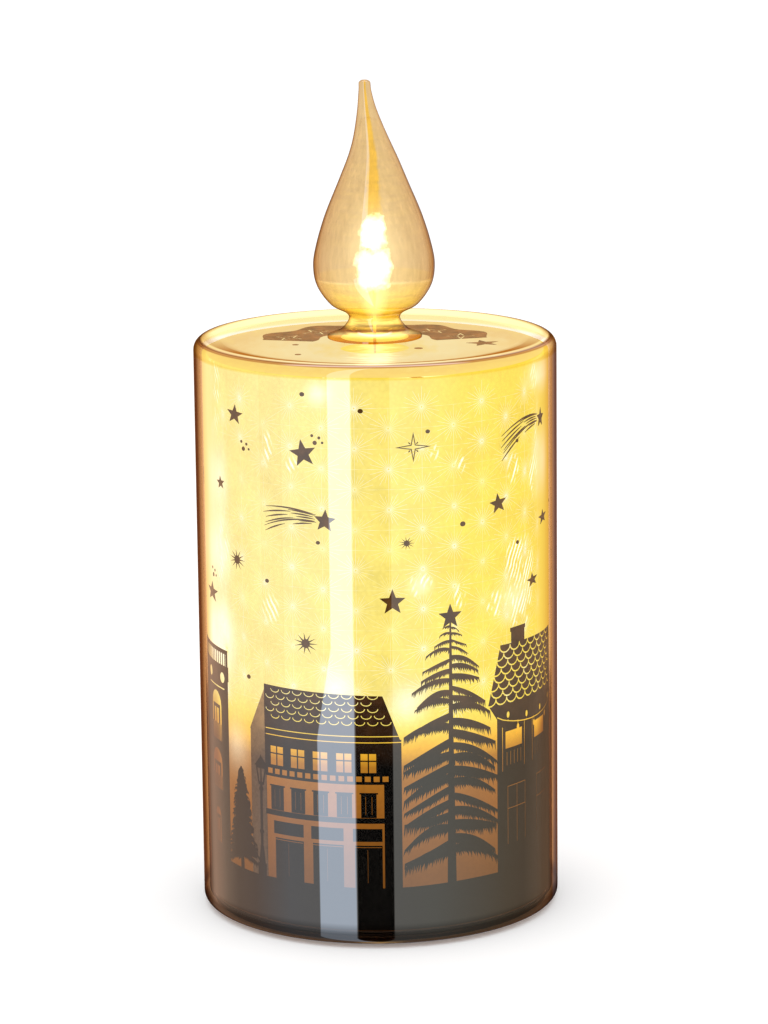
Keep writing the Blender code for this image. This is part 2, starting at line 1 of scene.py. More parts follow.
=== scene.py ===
"""Looks of the flameless LED candle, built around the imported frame.

The glass body, the glass flame and the films are rebuilt with fine, smooth meshes in the places of their CAD
nodes. The picture is thin ink relief on the rolled film: a generic winter village, firs, stars and comets.
The light film glows, with star-ray lines and lamp spots. All lengths are in millimetres and become metres
through MM. On the films, s is the distance round the film from the front, positive to the right, and h is
the height above the table.
"""

import json
import math
import random

import bmesh
import bpy
import numpy as np
from mathutils import Matrix, Vector, geometry


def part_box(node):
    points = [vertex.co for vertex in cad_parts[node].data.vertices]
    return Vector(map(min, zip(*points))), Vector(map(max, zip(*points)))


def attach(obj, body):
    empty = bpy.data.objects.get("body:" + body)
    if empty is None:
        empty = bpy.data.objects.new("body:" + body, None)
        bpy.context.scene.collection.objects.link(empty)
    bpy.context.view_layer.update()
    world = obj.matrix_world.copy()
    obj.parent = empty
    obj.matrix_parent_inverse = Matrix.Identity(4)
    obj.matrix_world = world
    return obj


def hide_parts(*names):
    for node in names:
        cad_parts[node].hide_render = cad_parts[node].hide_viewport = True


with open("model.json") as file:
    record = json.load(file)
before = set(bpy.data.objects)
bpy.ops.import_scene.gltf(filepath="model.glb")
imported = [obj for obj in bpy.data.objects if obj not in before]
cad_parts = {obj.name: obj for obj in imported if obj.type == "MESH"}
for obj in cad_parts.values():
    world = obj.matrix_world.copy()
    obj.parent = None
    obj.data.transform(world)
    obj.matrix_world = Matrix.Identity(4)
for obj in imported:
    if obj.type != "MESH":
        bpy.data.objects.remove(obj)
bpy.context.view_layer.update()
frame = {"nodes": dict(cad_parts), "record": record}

MM = 0.001
BODY = "candle"


def box_mm(node):
    """The lowest and highest corners of a CAD node, in millimetres."""
    low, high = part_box(node)
    return Vector(low) / MM, Vector(high) / MM


# Sizes read from the frame
GLASS_LOW, GLASS_HIGH = box_mm("glass_body")
GLASS_RADIUS = GLASS_HIGH.x
GLASS_TOP = GLASS_HIGH.z
GLASS_BOTTOM = GLASS_LOW.z
FLAME_TOP = box_mm("flame_glass")[1].z
FILM_BOTTOM = box_mm("light_film")[0].z
FILM_TOP = box_mm("light_film")[1].z
PICTURE_RADIUS = 47.7
LIGHT_RADIUS = box_mm("light_film")[1].x
TOP_FILM_Z = box_mm("top_film")[1].z

# The glass
GLASS_WALL = 1.6
SHOULDER_RADIUS = 3.2
HEEL_RADIUS = 2.0
MOUTH_RADIUS = 46.8
DISH_DEPTH = 0.8
DISH_RADIUS = 42.0
TOP_THICKNESS = 2.0
NECK_HOLE_RADIUS = 8.5
FLAME_WALL = 1.2
FLAME_LEAN = 2.0
FLAME_LEAN_START = 48.0
FLAME_HOLLOW_TOP = 61.0
FLAME_FOOT_RADIUS = 13.0
FLAME_FOOT_HOLE = 9.3
FLAME_FOOT_LIFT = 0.3  # the flame's outline counts its heights from this far below its foot
GLASS_STEPS = 256

# The films and their print
FILM_THICKNESS = 0.3
TOP_FILM_RADIUS = 46.4
TOP_FILM_HOLE = 9.5
SEAM_DEG = -40.7  # the picture film's first edge, round from the front
TUCK_DEG = 16.0
TUCK_DEPTH = 0.6
INK_THICKNESS = 0.08
BEND_STEP = 1.5  # longest flat stretch of ink round the film
STREAK_PITCH = 1.75
GROUND_TOP = 16.5
PRINT_LENGTH = math.tau * PICTURE_RADIUS
SEAM_S = math.radians(SEAM_DEG) * PICTURE_RADIUS

# The print's own layout: columns count round the film from the front, rows count up from the table.
LAYOUT_STEP = 4.0
SHOP_WALL_RIGHT = 6.0
FRONT_FIR = 20.0
RIGHT_HOUSE = (32.0, 70.0)
LEFT_LAMP = -36.0
LEFT_FIR = -44.0
LEFT_HOUSE = (-72.0, -50.0)


def on_grid(column, row):
    """A place of the layout, as millimetres round the film and millimetres up. What lies left of the film's
    first edge is on the far end of the film."""
    s = column * LAYOUT_STEP
    return (s + PRINT_LENGTH if s < SEAM_S else s), row * LAYOUT_STEP


# The camera
CAMERA_DISTANCE = 1100.0
CAMERA_ELEVATION = 12.0
CAMERA_LENS = 139.2
CAMERA_AIM = (2.0, 0.0, 110.6)
CAMERA_ROLL = -0.64


# ---------------------------------------------------------------- materials


def node(tree, kind, inputs=None, **settings):
    """Adds a shader node; an input is a plain value or another node's socket."""
    made = tree.nodes.new("ShaderNode" + kind)
    for key, value in settings.items():
        setattr(made, key, value)
    for key, value in (inputs or {}).items():
        if isinstance(value, bpy.types.NodeSocket):
            tree.links.new(value, made.inputs[key])
        else:
            made.inputs[key].default_value = value
    return made


def new_material(name):
    made = bpy.data.materials.new(name)
    made.use_nodes = True
    made.node_tree.nodes.clear()
    return made, made.node_tree


def output(tree, surface):
    node(tree, "OutputMaterial", {"Surface": surface})


def rgba(colour):
    return (*colour, 1.0)


def ramp(tree, factor, stops, interpolation="LINEAR"):
    """A colour ramp over 0..1 from (place, colour) stops."""
    made = node(tree, "ValToRGB", {"Fac": factor})
    made.color_ramp.interpolation = interpolation
    while len(made.color_ramp.elements) < len(stops):
        made.color_ramp.elements.new(0.5)
    for element, (place, colour) in zip(made.color_ramp.elements, stops):
        element.position = place
        element.color = rgba(colour)
    return made.outputs["Color"]


def maths(tree, operation, first, second=0.0):
    return node(tree, "Math", {0: first, 1: second}, operation=operation).outputs[0]


def times(tree, first, second):
    return maths(tree, "MULTIPLY", first, second)


def plus(tree, first, second):
    return maths(tree, "ADD", first, second)


def minus(tree, first, second):
    return maths(tree, "SUBTRACT", first, second)


def tinted(tree, first, second, factor, blend="MIX"):
    """Mixes two colours."""
    made = node(tree, "Mix", data_type="RGBA", blend_type=blend)
    for key, value in ((0, factor), (6, first), (7, second)):
        if isinstance(value, bpy.types.NodeSocket):
            tree.links.new(value, made.inputs[key])
        else:
            made.inputs[key].default_value = value if key == 0 else rgba(value)
    return made.outputs[2]


def object_coords(tree, scale=1.0):
    """Object coordinates in millimetres times scale."""
    made = node(tree, "VectorMath", operation="SCALE")
    coords = node(tree, "TexCoord").outputs["Object"]
    tree.links.new(coords, made.inputs[0])
    made.inputs["Scale"].default_value = scale / MM
    return made.outputs[0]


def noise(tree, scale, detail=3.0, coords=None, stretch=None):
    """Noise over object millimetres; scale is in features per millimetre."""
    coords = coords or object_coords(tree)
    if stretch:
        coords = node(tree, "VectorMath", {0: coords, 1: stretch}, operation="MULTIPLY").outputs[0]
    return node(tree, "TexNoise", {"Vector": coords, "Scale": scale, "Detail": detail}).outputs["Fac"]


def bumped(tree, height, strength, distance=0.05):
    """A bump normal; distance is in millimetres."""
    return node(tree, "Bump", {"Height": height, "Strength": strength, "Distance": distance * MM}).outputs[0]


def map_range(tree, value, low, high, start=0.0, end=1.0):
    """Value from low..high to start..end, held at both ends."""
    keys = {"Value": value, "From Min": low, "From Max": high, "To Min": start, "To Max": end}
    return node(tree, "MapRange", keys).outputs[0]


def axes(tree, vector):
    """A vector's x, y and z."""
    return node(tree, "SeparateXYZ", {0: vector}).outputs


def shading_point(tree, name):
    """Something known of the surface point: its Normal, Incoming or Backfacing."""
    return node(tree, "NewGeometry").outputs[name]


def edge_on(tree):
    """How edge-on a surface is seen: 0 face on, 1 at the silhouette."""
    return node(tree, "LayerWeight", {"Blend": 0.5}).outputs["Facing"]


def emission(tree, colour, strength):
    colour = colour if isinstance(colour, bpy.types.NodeSocket) else rgba(colour)
    return node(tree, "Emission", {"Color": colour, "Strength": strength}).outputs[0]


def plastic(name, colour, roughness, grain=1.6, grain_strength=0.25, spread=0.25):
    """Moulded plastic: fine grain, slight colour variation, and roughness that varies in soft patches."""
    made, tree = new_material(name)
    fine = noise(tree, grain, 4.0)
    broad = noise(tree, 0.06, 2.0)
    dark = tuple(c * (1 - spread) for c in colour)
    light = tuple(min(1.0, c * (1 + spread)) for c in colour)
    shade = ramp(tree, broad, [(0.3, dark), (0.7, light)])
    rough = map_range(tree, broad, 0.0, 1.0, roughness - 0.06, roughness + 0.08)
    shader = node(
        tree,
        "BsdfPrincipled",
        {"Base Color": shade, "Roughness": rough, "Normal": bumped(tree, fine, grain_strength)},
    )
    output(tree, shader.outputs[0])
    return made


def metal(name, colour, roughness, stretch=(1, 1, 14)):
    """Plated metal with faint drawn lines and uneven plating."""
    made, tree = new_material(name)
    lines = noise(tree, 0.8, 4.0, stretch=stretch)
    blotches = noise(tree, 0.35, 2.0)
    dull = tuple(c * 0.72 for c in colour)
    shade = ramp(tree, blotches, [(0.35, dull), (0.65, colour)])
    rough = map_range(tree, lines, 0.0, 1.0, roughness - 0.08, roughness + 0.12)
    keys = {"Base Color": shade, "Metallic": 1.0, "Roughness": rough, "Normal": bumped(tree, lines, 0.15)}
    output(tree, node(tree, "BsdfPrincipled", keys).outputs[0])
    return made


def bell(tree, value, centre, width):
    """1 at the centre, falling softly to 0 over the width."""
    away = maths(tree, "DIVIDE", minus(tree, value, centre), width)
    return maths(tree, "EXPONENT", times(tree, times(tree, away, away), -1.0))


def studio_reflection(tree, weight):
    """A painted studio reflection, given off as light: what a soft studio would show in a smooth surface:
    the pale table, warmer to the sides; a tall cool strip light left of the camera and a faint one behind;
    the dark gap where the camera stands; a bright panel overhead. Weight scales it."""
    x, y, z = axes(tree, node(tree, "TexCoord").outputs["Reflection"])
    turn = maths(tree, "ARCTAN2", x, times(tree, y, -1.0))
    degrees = times(tree, turn, 180 / math.pi)
    lowness = map_range(tree, z, -0.255, -0.30, 0.0, 10.0)

    def between(low, high, soft=0.7):
        rise = map_range(tree, degrees, low, plus(tree, low, soft))
        return times(tree, rise, map_range(tree, degrees, high, high - soft))

    strip = between(minus(tree, -30.5, lowness), -15.4)
    back_strip = between(150.0, 168.0, 6.0)
    gap = between(-15.4, 9.0)
    table = ramp(
        tree,
        map_range(tree, degrees, -180.0, 180.0),
        [
            (0.0, (0.25, 0.15, 0.10)), (0.09, (0.55, 0.33, 0.22)), (0.12, (0.88, 0.55, 0.38)),
            (0.17, (0.62, 0.42, 0.30)), (0.25, (0.50, 0.36, 0.29)), (0.33, (0.48, 0.47, 0.48)),
            (0.60, (0.44, 0.43, 0.38)), (0.75, (0.36, 0.28, 0.19)), (0.88, (0.28, 0.17, 0.10)),
            (1.0, (0.25, 0.15, 0.10)),
        ],
    )
    shown = tinted(tree, table, table, 1.0, "ADD")
    shown = tinted(tree, shown, (0.01, 0.01, 0.01), gap)
    shown = tinted(tree, shown, (0.95, 0.78, 0.62), map_range(tree, z, -0.05, 0.12))
    shown = tinted(tree, shown, (1.6, 1.7, 1.8), back_strip)
    shown = tinted(tree, shown, (3.3, 3.75, 4.4), strip)
    overhead = times(tree, map_range(tree, z, 0.84, 0.90), map_range(tree, y, 0.14, 0.22))
    shown = tinted(tree, shown, (8.5, 8.0, 9.2), overhead)
    return emission(tree, shown, weight)


def sideways(tree):
    """How far round to one side a surface looks from the viewer: 0 straight on, 1 at the silhouette."""

    def level(name):
        """A direction with its upward part taken out."""
        keys = {0: shading_point(tree, name), 1: (1.0, 1.0, 0.0)}
        flat = node(tree, "VectorMath", keys, operation="MULTIPLY")
        return node(tree, "VectorMath", {0: flat.outputs[0]}, operation="NORMALIZE").outputs[0]

    keys = {0: level("Normal"), 1: level("Incoming")}
    cross = node(tree, "VectorMath", keys, operation="CROSS_PRODUCT").outputs[0]
    return node(tree, "VectorMath", {0: cross}, operation="LENGTH").outputs["Value"]


def front_only(tree, value):
    """The value on surfaces that face the viewer, and 0 seen from behind."""
    behind = shading_point(tree, "Backfacing")
    return times(tree, value, minus(tree, 1.0, behind))


def clear_glass(name, tint, shine, glow, level_tint, shoulder=None, streaked=False):
    """Tinted glass seen from outside. Tint and shine are stops over how edge-on the surface is seen: its
    colour, and how strongly the painted studio reflection shows in it. Level tint is for surfaces that lie
    level, glow adds light, shoulder is an extra colour above the film by how far the surface looks up
    (painted yellow light, darker where the surface turns towards level) and also darkens the heel towards
    the bottom, and streaked adds the flame's uneven amber and its painted yellow light."""
    made, tree = new_material(name)
    facing = edge_on(tree)
    uneven = map_range(tree, noise(tree, 0.05, 1.0), 0.0, 1.0, -0.008, 0.008)
    seen = plus(tree, facing, uneven)
    colour = ramp(tree, seen, tint)
    upward = axes(tree, shading_point(tree, "Normal"))[2]
    level = map_range(tree, maths(tree, "ABSOLUTE", upward), 0.90, 0.97)
    colour = tinted(tree, colour, ramp(tree, seen, level_tint), level)
    # Painted shade: where the glass faces right and is seen towards its edge, its colour is darkened.
    to_right = axes(tree, shading_point(tree, "Normal"))[0]
    shade = times(tree, map_range(tree, to_right, 0.87, 0.96), map_range(tree, facing, 0.5, 0.62))
    colour = tinted(tree, colour, (0.80, 0.66, 0.46), shade, "MULTIPLY")
    weight = ramp(tree, facing, [(place, (value, value, value)) for place, value in shine])
    if shoulder:
        # Above the film: painted yellow light in the glass, darker where the surface turns towards level,
        # and a weaker reflection. Low down: darker towards the bottom, with a weaker reflection.
        z = axes(tree, object_coords(tree))[2]
        above = map_range(tree, z, FILM_TOP, FILM_TOP + 0.6)
        above = times(tree, above, minus(tree, 1.0, level))
        colour = tinted(tree, colour, ramp(tree, upward, shoulder), above, "MULTIPLY")
        weight = times(tree, weight, map_range(tree, above, 0.0, 1.0, 1.0, 0.45))
        below = map_range(tree, z, 7.0, 4.0)
        colour = tinted(tree, colour, (0.42, 0.30, 0.22), below, "MULTIPLY")
        weight = times(tree, weight, map_range(tree, below, 0.0, 1.0, 1.0, 0.3))
    if streaked:
        colour = flame_tint_and_painted_light(tree, colour)
    clear = node(tree, "BsdfTransparent", {"Color": colour}).outputs[0]
    light = studio_reflection(tree, front_only(tree, weight))
    total = node(tree, "AddShader", {0: clear, 1: light}).outputs[0]
    total = node(tree, "AddShader", {0: total, 1: glow(tree, facing)}).outputs[0]
    output(tree, total)
    return made


def amber_body():
    """Thin amber lustre glass: nearly clear face on, through tan to dark brown at the rim."""
    return clear_glass(
        "amber_glass_body",
        [
            (0.62, (1.0, 0.985, 0.94)), (0.68, (0.93, 0.80, 0.68)), (0.74, (0.76, 0.57, 0.38)),
            (0.79, (0.60, 0.42, 0.28)), (0.84, (0.38, 0.20, 0.06)), (0.90, (0.32, 0.14, 0.03)),
            (1.0, (0.60, 0.46, 0.34)),
        ],
        [(0.45, 0.10), (0.60, 0.155), (0.70, 0.17), (0.76, 0.06), (0.85, 0.03), (1.0, 0.06)],
        glow=shoulder_glow,
        level_tint=[(0.0, (1.0, 0.99, 0.95)), (0.82, (1.0, 0.975, 0.88)), (0.92, (0.50, 0.20, 0.03))],
        shoulder=[
            (0.0, (0.98, 0.91, 0.52)), (0.70, (0.98, 0.90, 0.50)), (0.77, (0.55, 0.28, 0.10)),
            (0.84, (0.60, 0.36, 0.18)), (0.88, (0.34, 0.12, 0.02)),
        ],
    )


def shoulder_glow(tree, facing):
    """Light piped up into the shoulder, and the lit flame mirrored in the level top in front of it."""
    coords = object_coords(tree)
    x, y, z = axes(tree, coords)
    height = map_range(tree, z, FILM_TOP - 0.5, FILM_TOP + 1.5)
    piped = emission(tree, (0.03, 0.02, 0.0), front_only(tree, height))
    way_x, way_y, _ = axes(tree, node(tree, "TexCoord").outputs["Reflection"])
    across = minus(tree, times(tree, x, way_y), times(tree, y, way_x))
    ahead = plus(tree, times(tree, x, way_x), times(tree, y, way_y))
    upward = axes(tree, shading_point(tree, "Normal"))[2]
    level = times(tree, map_range(tree, upward, 0.90, 0.97), map_range(tree, ahead, -8.0, -14.0))
    ripple = map_range(tree, noise(tree, 0.35, 3.0, coords, (0.6, 1.6, 1.0)), 0.3, 0.7, -2.5, 2.5)
    streak = bell(tree, plus(tree, across, ripple), 0.0, 4.2)
    mirrored = times(tree, streak, times(tree, level, 0.55))
    flame = emission(tree, (1.0, 0.90, 0.50), mirrored)
    return node(tree, "AddShader", {0: piped, 1: flame}).outputs[0]


def amber_flame():
    """The flame's glass: a deeper even amber with thin dark edges and soft upright streaks."""
    return clear_glass(
        "amber_glass_flame",
        [
            (0.0, (0.81, 0.67, 0.46)), (0.30, (0.81, 0.665, 0.455)), (0.52, (0.78, 0.62, 0.42)),
            (0.68, (0.73, 0.55, 0.36)), (0.80, (0.58, 0.40, 0.24)), (0.90, (0.36, 0.20, 0.10)),
            (1.0, (0.42, 0.27, 0.16)),
        ],
        [(0.0, 0.045), (0.5, 0.05), (0.85, 0.03), (1.0, 0.05)],
        glow=flame_glow,
        level_tint=[(0.0, (0.96, 0.86, 0.50)), (0.74, (0.90, 0.70, 0.26)), (0.82, (0.58, 0.28, 0.02))],
        streaked=True,
    )


def inner_face(name, low_tint=(0.97, 0.94, 0.90)):
    """The inside face of a glass wall: hardly seen, but low down its rim carries painted darkness, the
    print's darkness seen through it.
    """
    made, tree = new_material(name)
    facing = edge_on(tree)
    z = axes(tree, object_coords(tree))[2]
    mottle = map_range(tree, noise(tree, 0.15, 2.0), 0.3, 0.7, -4.0, 4.0)
    # Painted darkness low down on the rim, where the dark print lies behind.
    down = map_range(tree, plus(tree, z, mottle), 72.0, 52.0)
    low = times(tree, down, map_range(tree, facing, 0.6, 0.68))
    plain = tinted(tree, (1.0, 0.995, 0.98), (0.97, 0.94, 0.90), facing)
    output(tree, node(tree, "BsdfTransparent", {"Color": tinted(tree, plain, low_tint, low)}).outputs[0])
    return made


def flame_tint_and_painted_light(tree, colour):
    """Uneven amber: fine upright streaks and a yellow foot, with painted yellow light at the neck and in a
    band up the middle over the lamps.
    """
    coords = object_coords(tree)
    z = axes(tree, coords)[2]
    streaks = noise(tree, 0.9, 3.0, coords, (1, 1, 0.07))
    colour = tinted(tree, colour, (0.95, 0.94, 0.92), map_range(tree, streaks, 0.45, 0.70), "MULTIPLY")
    colour = tinted(tree, colour, (1.06, 1.05, 1.03), map_range(tree, streaks, 0.45, 0.30), "MULTIPLY")
    foot = map_range(tree, z, GLASS_TOP + 16.6, GLASS_TOP + 16.2)
    colour = tinted(tree, colour, (1.07, 1.06, 0.90), foot, "MULTIPLY")
    # Painted yellow light at the neck.
    neck = map_range(tree, z, GLASS_TOP + 12.0, GLASS_TOP + 5.0)
    colour = tinted(tree, colour, (1.04, 1.03, 0.62), neck, "MULTIPLY")
    # Painted yellow light in a band up the middle over the lamps.
    aside = plus(tree, sideways(tree), map_range(tree, streaks, 0.3, 0.7, -0.05, 0.05))
    over = map_range(tree, z, GLASS_TOP + 31.0, GLASS_TOP + 35.0)
    band = times(tree, map_range(tree, aside, 0.20, 0.11), over)
    return tinted(tree, colour, (1.08, 0.99, 0.52), band, "MULTIPLY")


def flame_glow(tree, facing):
    """Lamp light in the flame's wall: bright rings at the foot and neck, a dip line above them, a paler band
    up the middle, and a halo round each lamp."""
    _, forward, z = axes(tree, object_coords(tree))
    slanted = plus(tree, z, times(tree, forward, 0.07))
    warm = ramp(
        tree,
        map_range(tree, slanted, GLASS_TOP - DISH_DEPTH, FLAME_TOP),
        [
            (0.0, (0.10, 0.04, 0.0)), (0.010, (0.35, 0.20, 0.0)), (0.018, (0.90, 0.76, 0.26)),
            (0.027, (0.85, 0.68, 0.20)), (0.034, (0.10, 0.03, 0.0)), (0.045, (0.42, 0.28, 0.02)),
            (0.07, (0.80, 0.70, 0.20)), (0.085, (0.20, 0.11, 0.0)), (0.105, (0.42, 0.32, 0.02)),
            (0.12, (0.22, 0.15, 0.0)), (0.14, (0.16, 0.14, 0.0)), (0.222, (0.05, 0.04, 0.0)),
            (0.229, (0.22, 0.20, 0.09)), (0.236, (0.0, 0.0, 0.0)), (0.55, (0.06, 0.045, 0.0)),
            (0.85, (0.04, 0.03, 0.0)), (1.0, (0.0, 0.0, 0.0)),
        ],
    )
    centre = minus(tree, 1.0, facing)
    above = map_range(tree, z, GLASS_TOP + 14.0, GLASS_TOP + 20.0)
    low_focus = map_range(tree, facing, 0.45, 0.85, 1.0, 0.12)
    focus = tinted(tree, low_focus, centre, above)
    swirl = map_range(tree, noise(tree, 0.30, 3.0, stretch=(0.4, 0.4, 3.0)), 0.35, 0.65, 0.45, 1.55)
    base = emission(tree, warm, front_only(tree, times(tree, focus, swirl)))
    rough = map_range(tree, noise(tree, 0.35, 3.0), 0.3, 0.7, -0.22, 0.22)
    aside = sideways(tree)
    bright = None
    for lamp, half, tall in (("flame_lamp_1", 0.29, 5.4), ("flame_lamp_2", 0.235, 4.4)):
        low, high = box_mm(lamp)
        away = maths(tree, "ABSOLUTE", minus(tree, z, (low.z + high.z) / 2 + 2.4))
        round_off = maths(tree, "POWER", maths(tree, "DIVIDE", aside, half), 2.6)
        upright = maths(tree, "POWER", maths(tree, "DIVIDE", away, tall), 2.6)
        out = maths(tree, "POWER", plus(tree, round_off, upright), 1 / 2.6)
        core = map_range(tree, plus(tree, out, rough), 1.15, 0.75, 0.0, 1.8)
        halo = map_range(tree, out, 2.6, 0.6, 0.0, 0.22)
        spot = plus(tree, core, halo)
        bright = plus(tree, bright, spot) if bright else spot
    stem = times(tree, map_range(tree, aside, 0.30, 0.05), bell(tree, z, GLASS_TOP + 11.0, 6.0))
    bright = plus(tree, bright, times(tree, stem, 0.45))
    lamps = emission(tree, (1.0, 0.87, 0.46), front_only(tree, bright))
    return node(tree, "AddShader", {0: base, 1: lamps}).outputs[0]


def clear_film():
    """The picture film's clear base. Edge on, its rim carries the light of the film behind it."""
    made, tree = new_material("clear_film")
    facing = edge_on(tree)
    # Slightly uneven strength of the painted rim light.
    uneven_rim_light = map_range(tree, noise(tree, 0.6, 2.0), 0.3, 0.7, 0.985, 1.0)
    shade = tinted(tree, (1.0, 0.995, 0.98), (0.97, 0.93, 0.86), facing)
    clear = node(tree, "BsdfTransparent", {"Color": shade})
    glow = node(tree, "Attribute", attribute_name="glow").outputs["Color"]
    rim = emission(tree, tinted(tree, glow, (0.85, 0.62, 0.38), 0.30, "MULTIPLY"), uneven_rim_light)
    edge = map_range(tree, facing, 0.60, 0.78)
    output(tree, node(tree, "MixShader", {0: edge, 1: clear.outputs[0], 2: rim}).outputs[0])
    return made


def printed_ink(name, colour, lit):
    """Dark print: mottled, satin, and a little translucent where the film behind is bright, shown as a
    painted glow.
    """
    made, tree = new_material(name)
    coords = object_coords(tree)
    mottle = noise(tree, 1.2, 4.0, coords)
    dark = tuple(c * 0.6 for c in colour)
    shade = ramp(tree, mottle, [(0.3, dark), (0.7, colour)])
    height = axes(tree, coords)[2]
    # Painted glow: the ink gives off light higher up, unevenly in streaks.
    bright = map_range(tree, height, 50.0, 72.0)
    streaks = noise(tree, 0.25, 3.0, coords)
    through = times(tree, bright, map_range(tree, streaks, 0.3, 0.7, 0.5, 1.4))
    keys = {"Base Color": shade, "Roughness": 0.5, "Specular IOR Level": 0.04, "Emission Color": rgba(lit)}
    keys |= {"Emission Strength": through, "Normal": bumped(tree, mottle, 0.1)}
    output(tree, node(tree, "BsdfPrincipled", keys).outputs[0])
    return made


def glowing_film():
    """The lit film: its glow is worked out point by point in glow_colours, with a fine shimmer over it."""
    made, tree = new_material("glowing_film")
    glow = node(tree, "Attribute", attribute_name="glow").outputs["Color"]
    streak = node(tree, "Attribute", attribute_name="streak").outputs["Fac"]
    coords = object_coords(tree)
    shimmer = node(tree, "TexVoronoi", {"Vector": coords, "Scale": 0.9}, feature="F1").outputs["Distance"]
    sparkle = map_range(tree, shimmer, 0.0, 0.9, 1.06, 0.95)
    cloudy = map_range(tree, noise(tree, 0.10, 4.0, coords), 0.3, 0.7, 0.93, 1.07)
    around = node(tree, "Attribute", attribute_name="around").outputs["Fac"]
    height = axes(tree, coords)[2]
    lean = minus(tree, maths(tree, "ABSOLUTE", around), times(tree, height, 0.55))
    wobble = map_range(tree, noise(tree, 0.15, 2.0, coords), 0.3, 0.7, -0.45, 0.45)
    wave = maths(tree, "SINE", times(tree, plus(tree, lean, wobble), math.tau / STREAK_PITCH))
    broken = map_range(tree, noise(tree, 0.28, 2.0, coords, (1.4, 1.4, 0.6)), 0.42, 0.56)
    bands = times(tree, map_range(tree, wave, 0.1, 0.6), broken)
    hatch = times(tree, map_range(tree, streak, 0.2, 0.55), bands)
    strength = times(tree, sparkle, cloudy)
    lit = tinted(tree, glow, (1.35, 1.32, 1.20), hatch)
    output(tree, emission(tree, lit, strength))
    return made


def lit_lines():
    """Star-ray lines, a little paler than the film behind them."""
    made, tree = new_material("ray_lines")
    patch = noise(tree, 0.12, 2.0)
    shade = ramp(tree, patch, [(0.35, (1.0, 0.93, 0.42)), (0.65, (1.0, 1.0, 0.80))])
    output(tree, emission(tree, shade, 1.05))
    return made


def lamp_resin():
    """A lit resin drop: white-hot with a warm rim."""
    made, tree = new_material("lamp_resin")
    facing = node(tree, "LayerWeight", {"Blend": 0.4}).outputs["Facing"]
    stops = [(0.0, (1.0, 0.97, 0.85)), (0.6, (1.0, 0.90, 0.55)), (1.0, (1.0, 0.66, 0.2))]
    shade = ramp(tree, facing, stops)
    core = map_range(tree, facing, 0.0, 1.0, 7.0, 1.2)
    cloud = map_range(tree, noise(tree, 0.8), 0.0, 1.0, 0.8, 1.2)
    output(tree, emission(tree, shade, times(tree, core, cloud)))
    return made


def copper_wire():
    """Enamelled copper, lit up where it runs between the flame's lamps."""
    made, tree = new_material("copper")
    lines = noise(tree, 0.8, 4.0, stretch=(2, 2, 8))
    shade = ramp(tree, lines, [(0.35, (0.60, 0.30, 0.14)), (0.65, (0.88, 0.50, 0.24))])
    z = axes(tree, object_coords(tree))[2]
    keys = {"Base Color": shade, "Metallic": 1.0, "Roughness": 0.28, "Normal": bumped(tree, lines, 0.15)}
    keys["Emission Color"] = rgba((0.95, 0.62, 0.16))
    keys["Emission Strength"] = map_range(tree, z, GLASS_TOP - 1.0, GLASS_TOP + 4.0, 0.0, 0.9)
    output(tree, node(tree, "BsdfPrincipled", keys).outputs[0])
    return made


def banded_cell():
    """A cell's shrink sleeve: green with a plain copper-coloured band at one end."""
    made, tree = new_material("cell_wrap")
    x = axes(tree, object_coords(tree))[0]
    place = map_range(tree, x, -25.0, 25.0)
    shade = ramp(tree, place, [(0.0, (0.05, 0.16, 0.09)), (0.72, (0.62, 0.34, 0.14))], "CONSTANT")
    speck = noise(tree, 2.5, 3.0)
    shade = tinted(tree, shade, (0.02, 0.02, 0.02), times(tree, speck, 0.3))
    keys = {"Base Color": shade, "Roughness": 0.28, "Normal": bumped(tree, speck, 0.08)}
    output(tree, node(tree, "BsdfPrincipled", keys).outputs[0])
    return made


def circuit_board():
    """Solder mask over copper tracks: lighter straight tracks on green."""
    made, tree = new_material("green_board")
    tracks = node(
        tree, "TexBrick", {"Vector": object_coords(tree), "Scale": 0.28, "Mortar Size": 0.05}, offset=0.3
    ).outputs["Fac"]
    shade = tinted(tree, (0.02, 0.14, 0.05), (0.06, 0.30, 0.12), tracks)
    grain = noise(tree, 3.0)
    shade = tinted(tree, shade, (0.01, 0.06, 0.02), times(tree, grain, 0.3))
    shader = node(
        tree, "BsdfPrincipled", {"Base Color": shade, "Roughness": 0.3, "Normal": bumped(tree, tracks, 0.2)}
    )
    output(tree, shader.outputs[0])
    return made


MATERIALS = {
    "black_plastic": plastic("black_plastic", (0.022, 0.022, 0.024), 0.45),
    "silicone": plastic("silicone", (0.045, 0.04, 0.035), 0.42, 0.8, 0.1),
    "cell_wrap": banded_cell(),
    "nickel": metal("nickel", (0.78, 0.75, 0.70), 0.24),
    "zinc_steel": metal("zinc_steel", (0.62, 0.63, 0.66), 0.36, (6, 6, 2)),
    "rubber": plastic("rubber", (0.035, 0.034, 0.033), 0.82, 2.4, 0.5),
    "lamp_resin": lamp_resin(),
    "copper": copper_wire(),
    "red_pvc": plastic("red_pvc", (0.50, 0.02, 0.02), 0.35, 1.2, 0.1),
    "black_pvc": plastic("black_pvc", (0.02, 0.02, 0.02), 0.35, 1.2, 0.1),
    "green_board": circuit_board(),
    "chip_black": plastic("chip_black", (0.018, 0.018, 0.018), 0.55, 3.0, 0.3),
    "white_plastic": plastic("white_plastic", (0.78, 0.78, 0.74), 0.4, 1.6, 0.2, 0.06),
}
BODY_GLASS = [amber_body(), inner_face("amber_glass_inside", (0.40, 0.27, 0.20))]
FLAME_GLASS = [amber_flame(), inner_face("flame_glass_inside")]
CLEAR_FILM = clear_film()
GLOW_FILM = glowing_film()
RAY_LINES = lit_lines()
INK = printed_ink("print_ink", (0.0015, 0.001, 0.0008), (0.060, 0.024, 0.008))
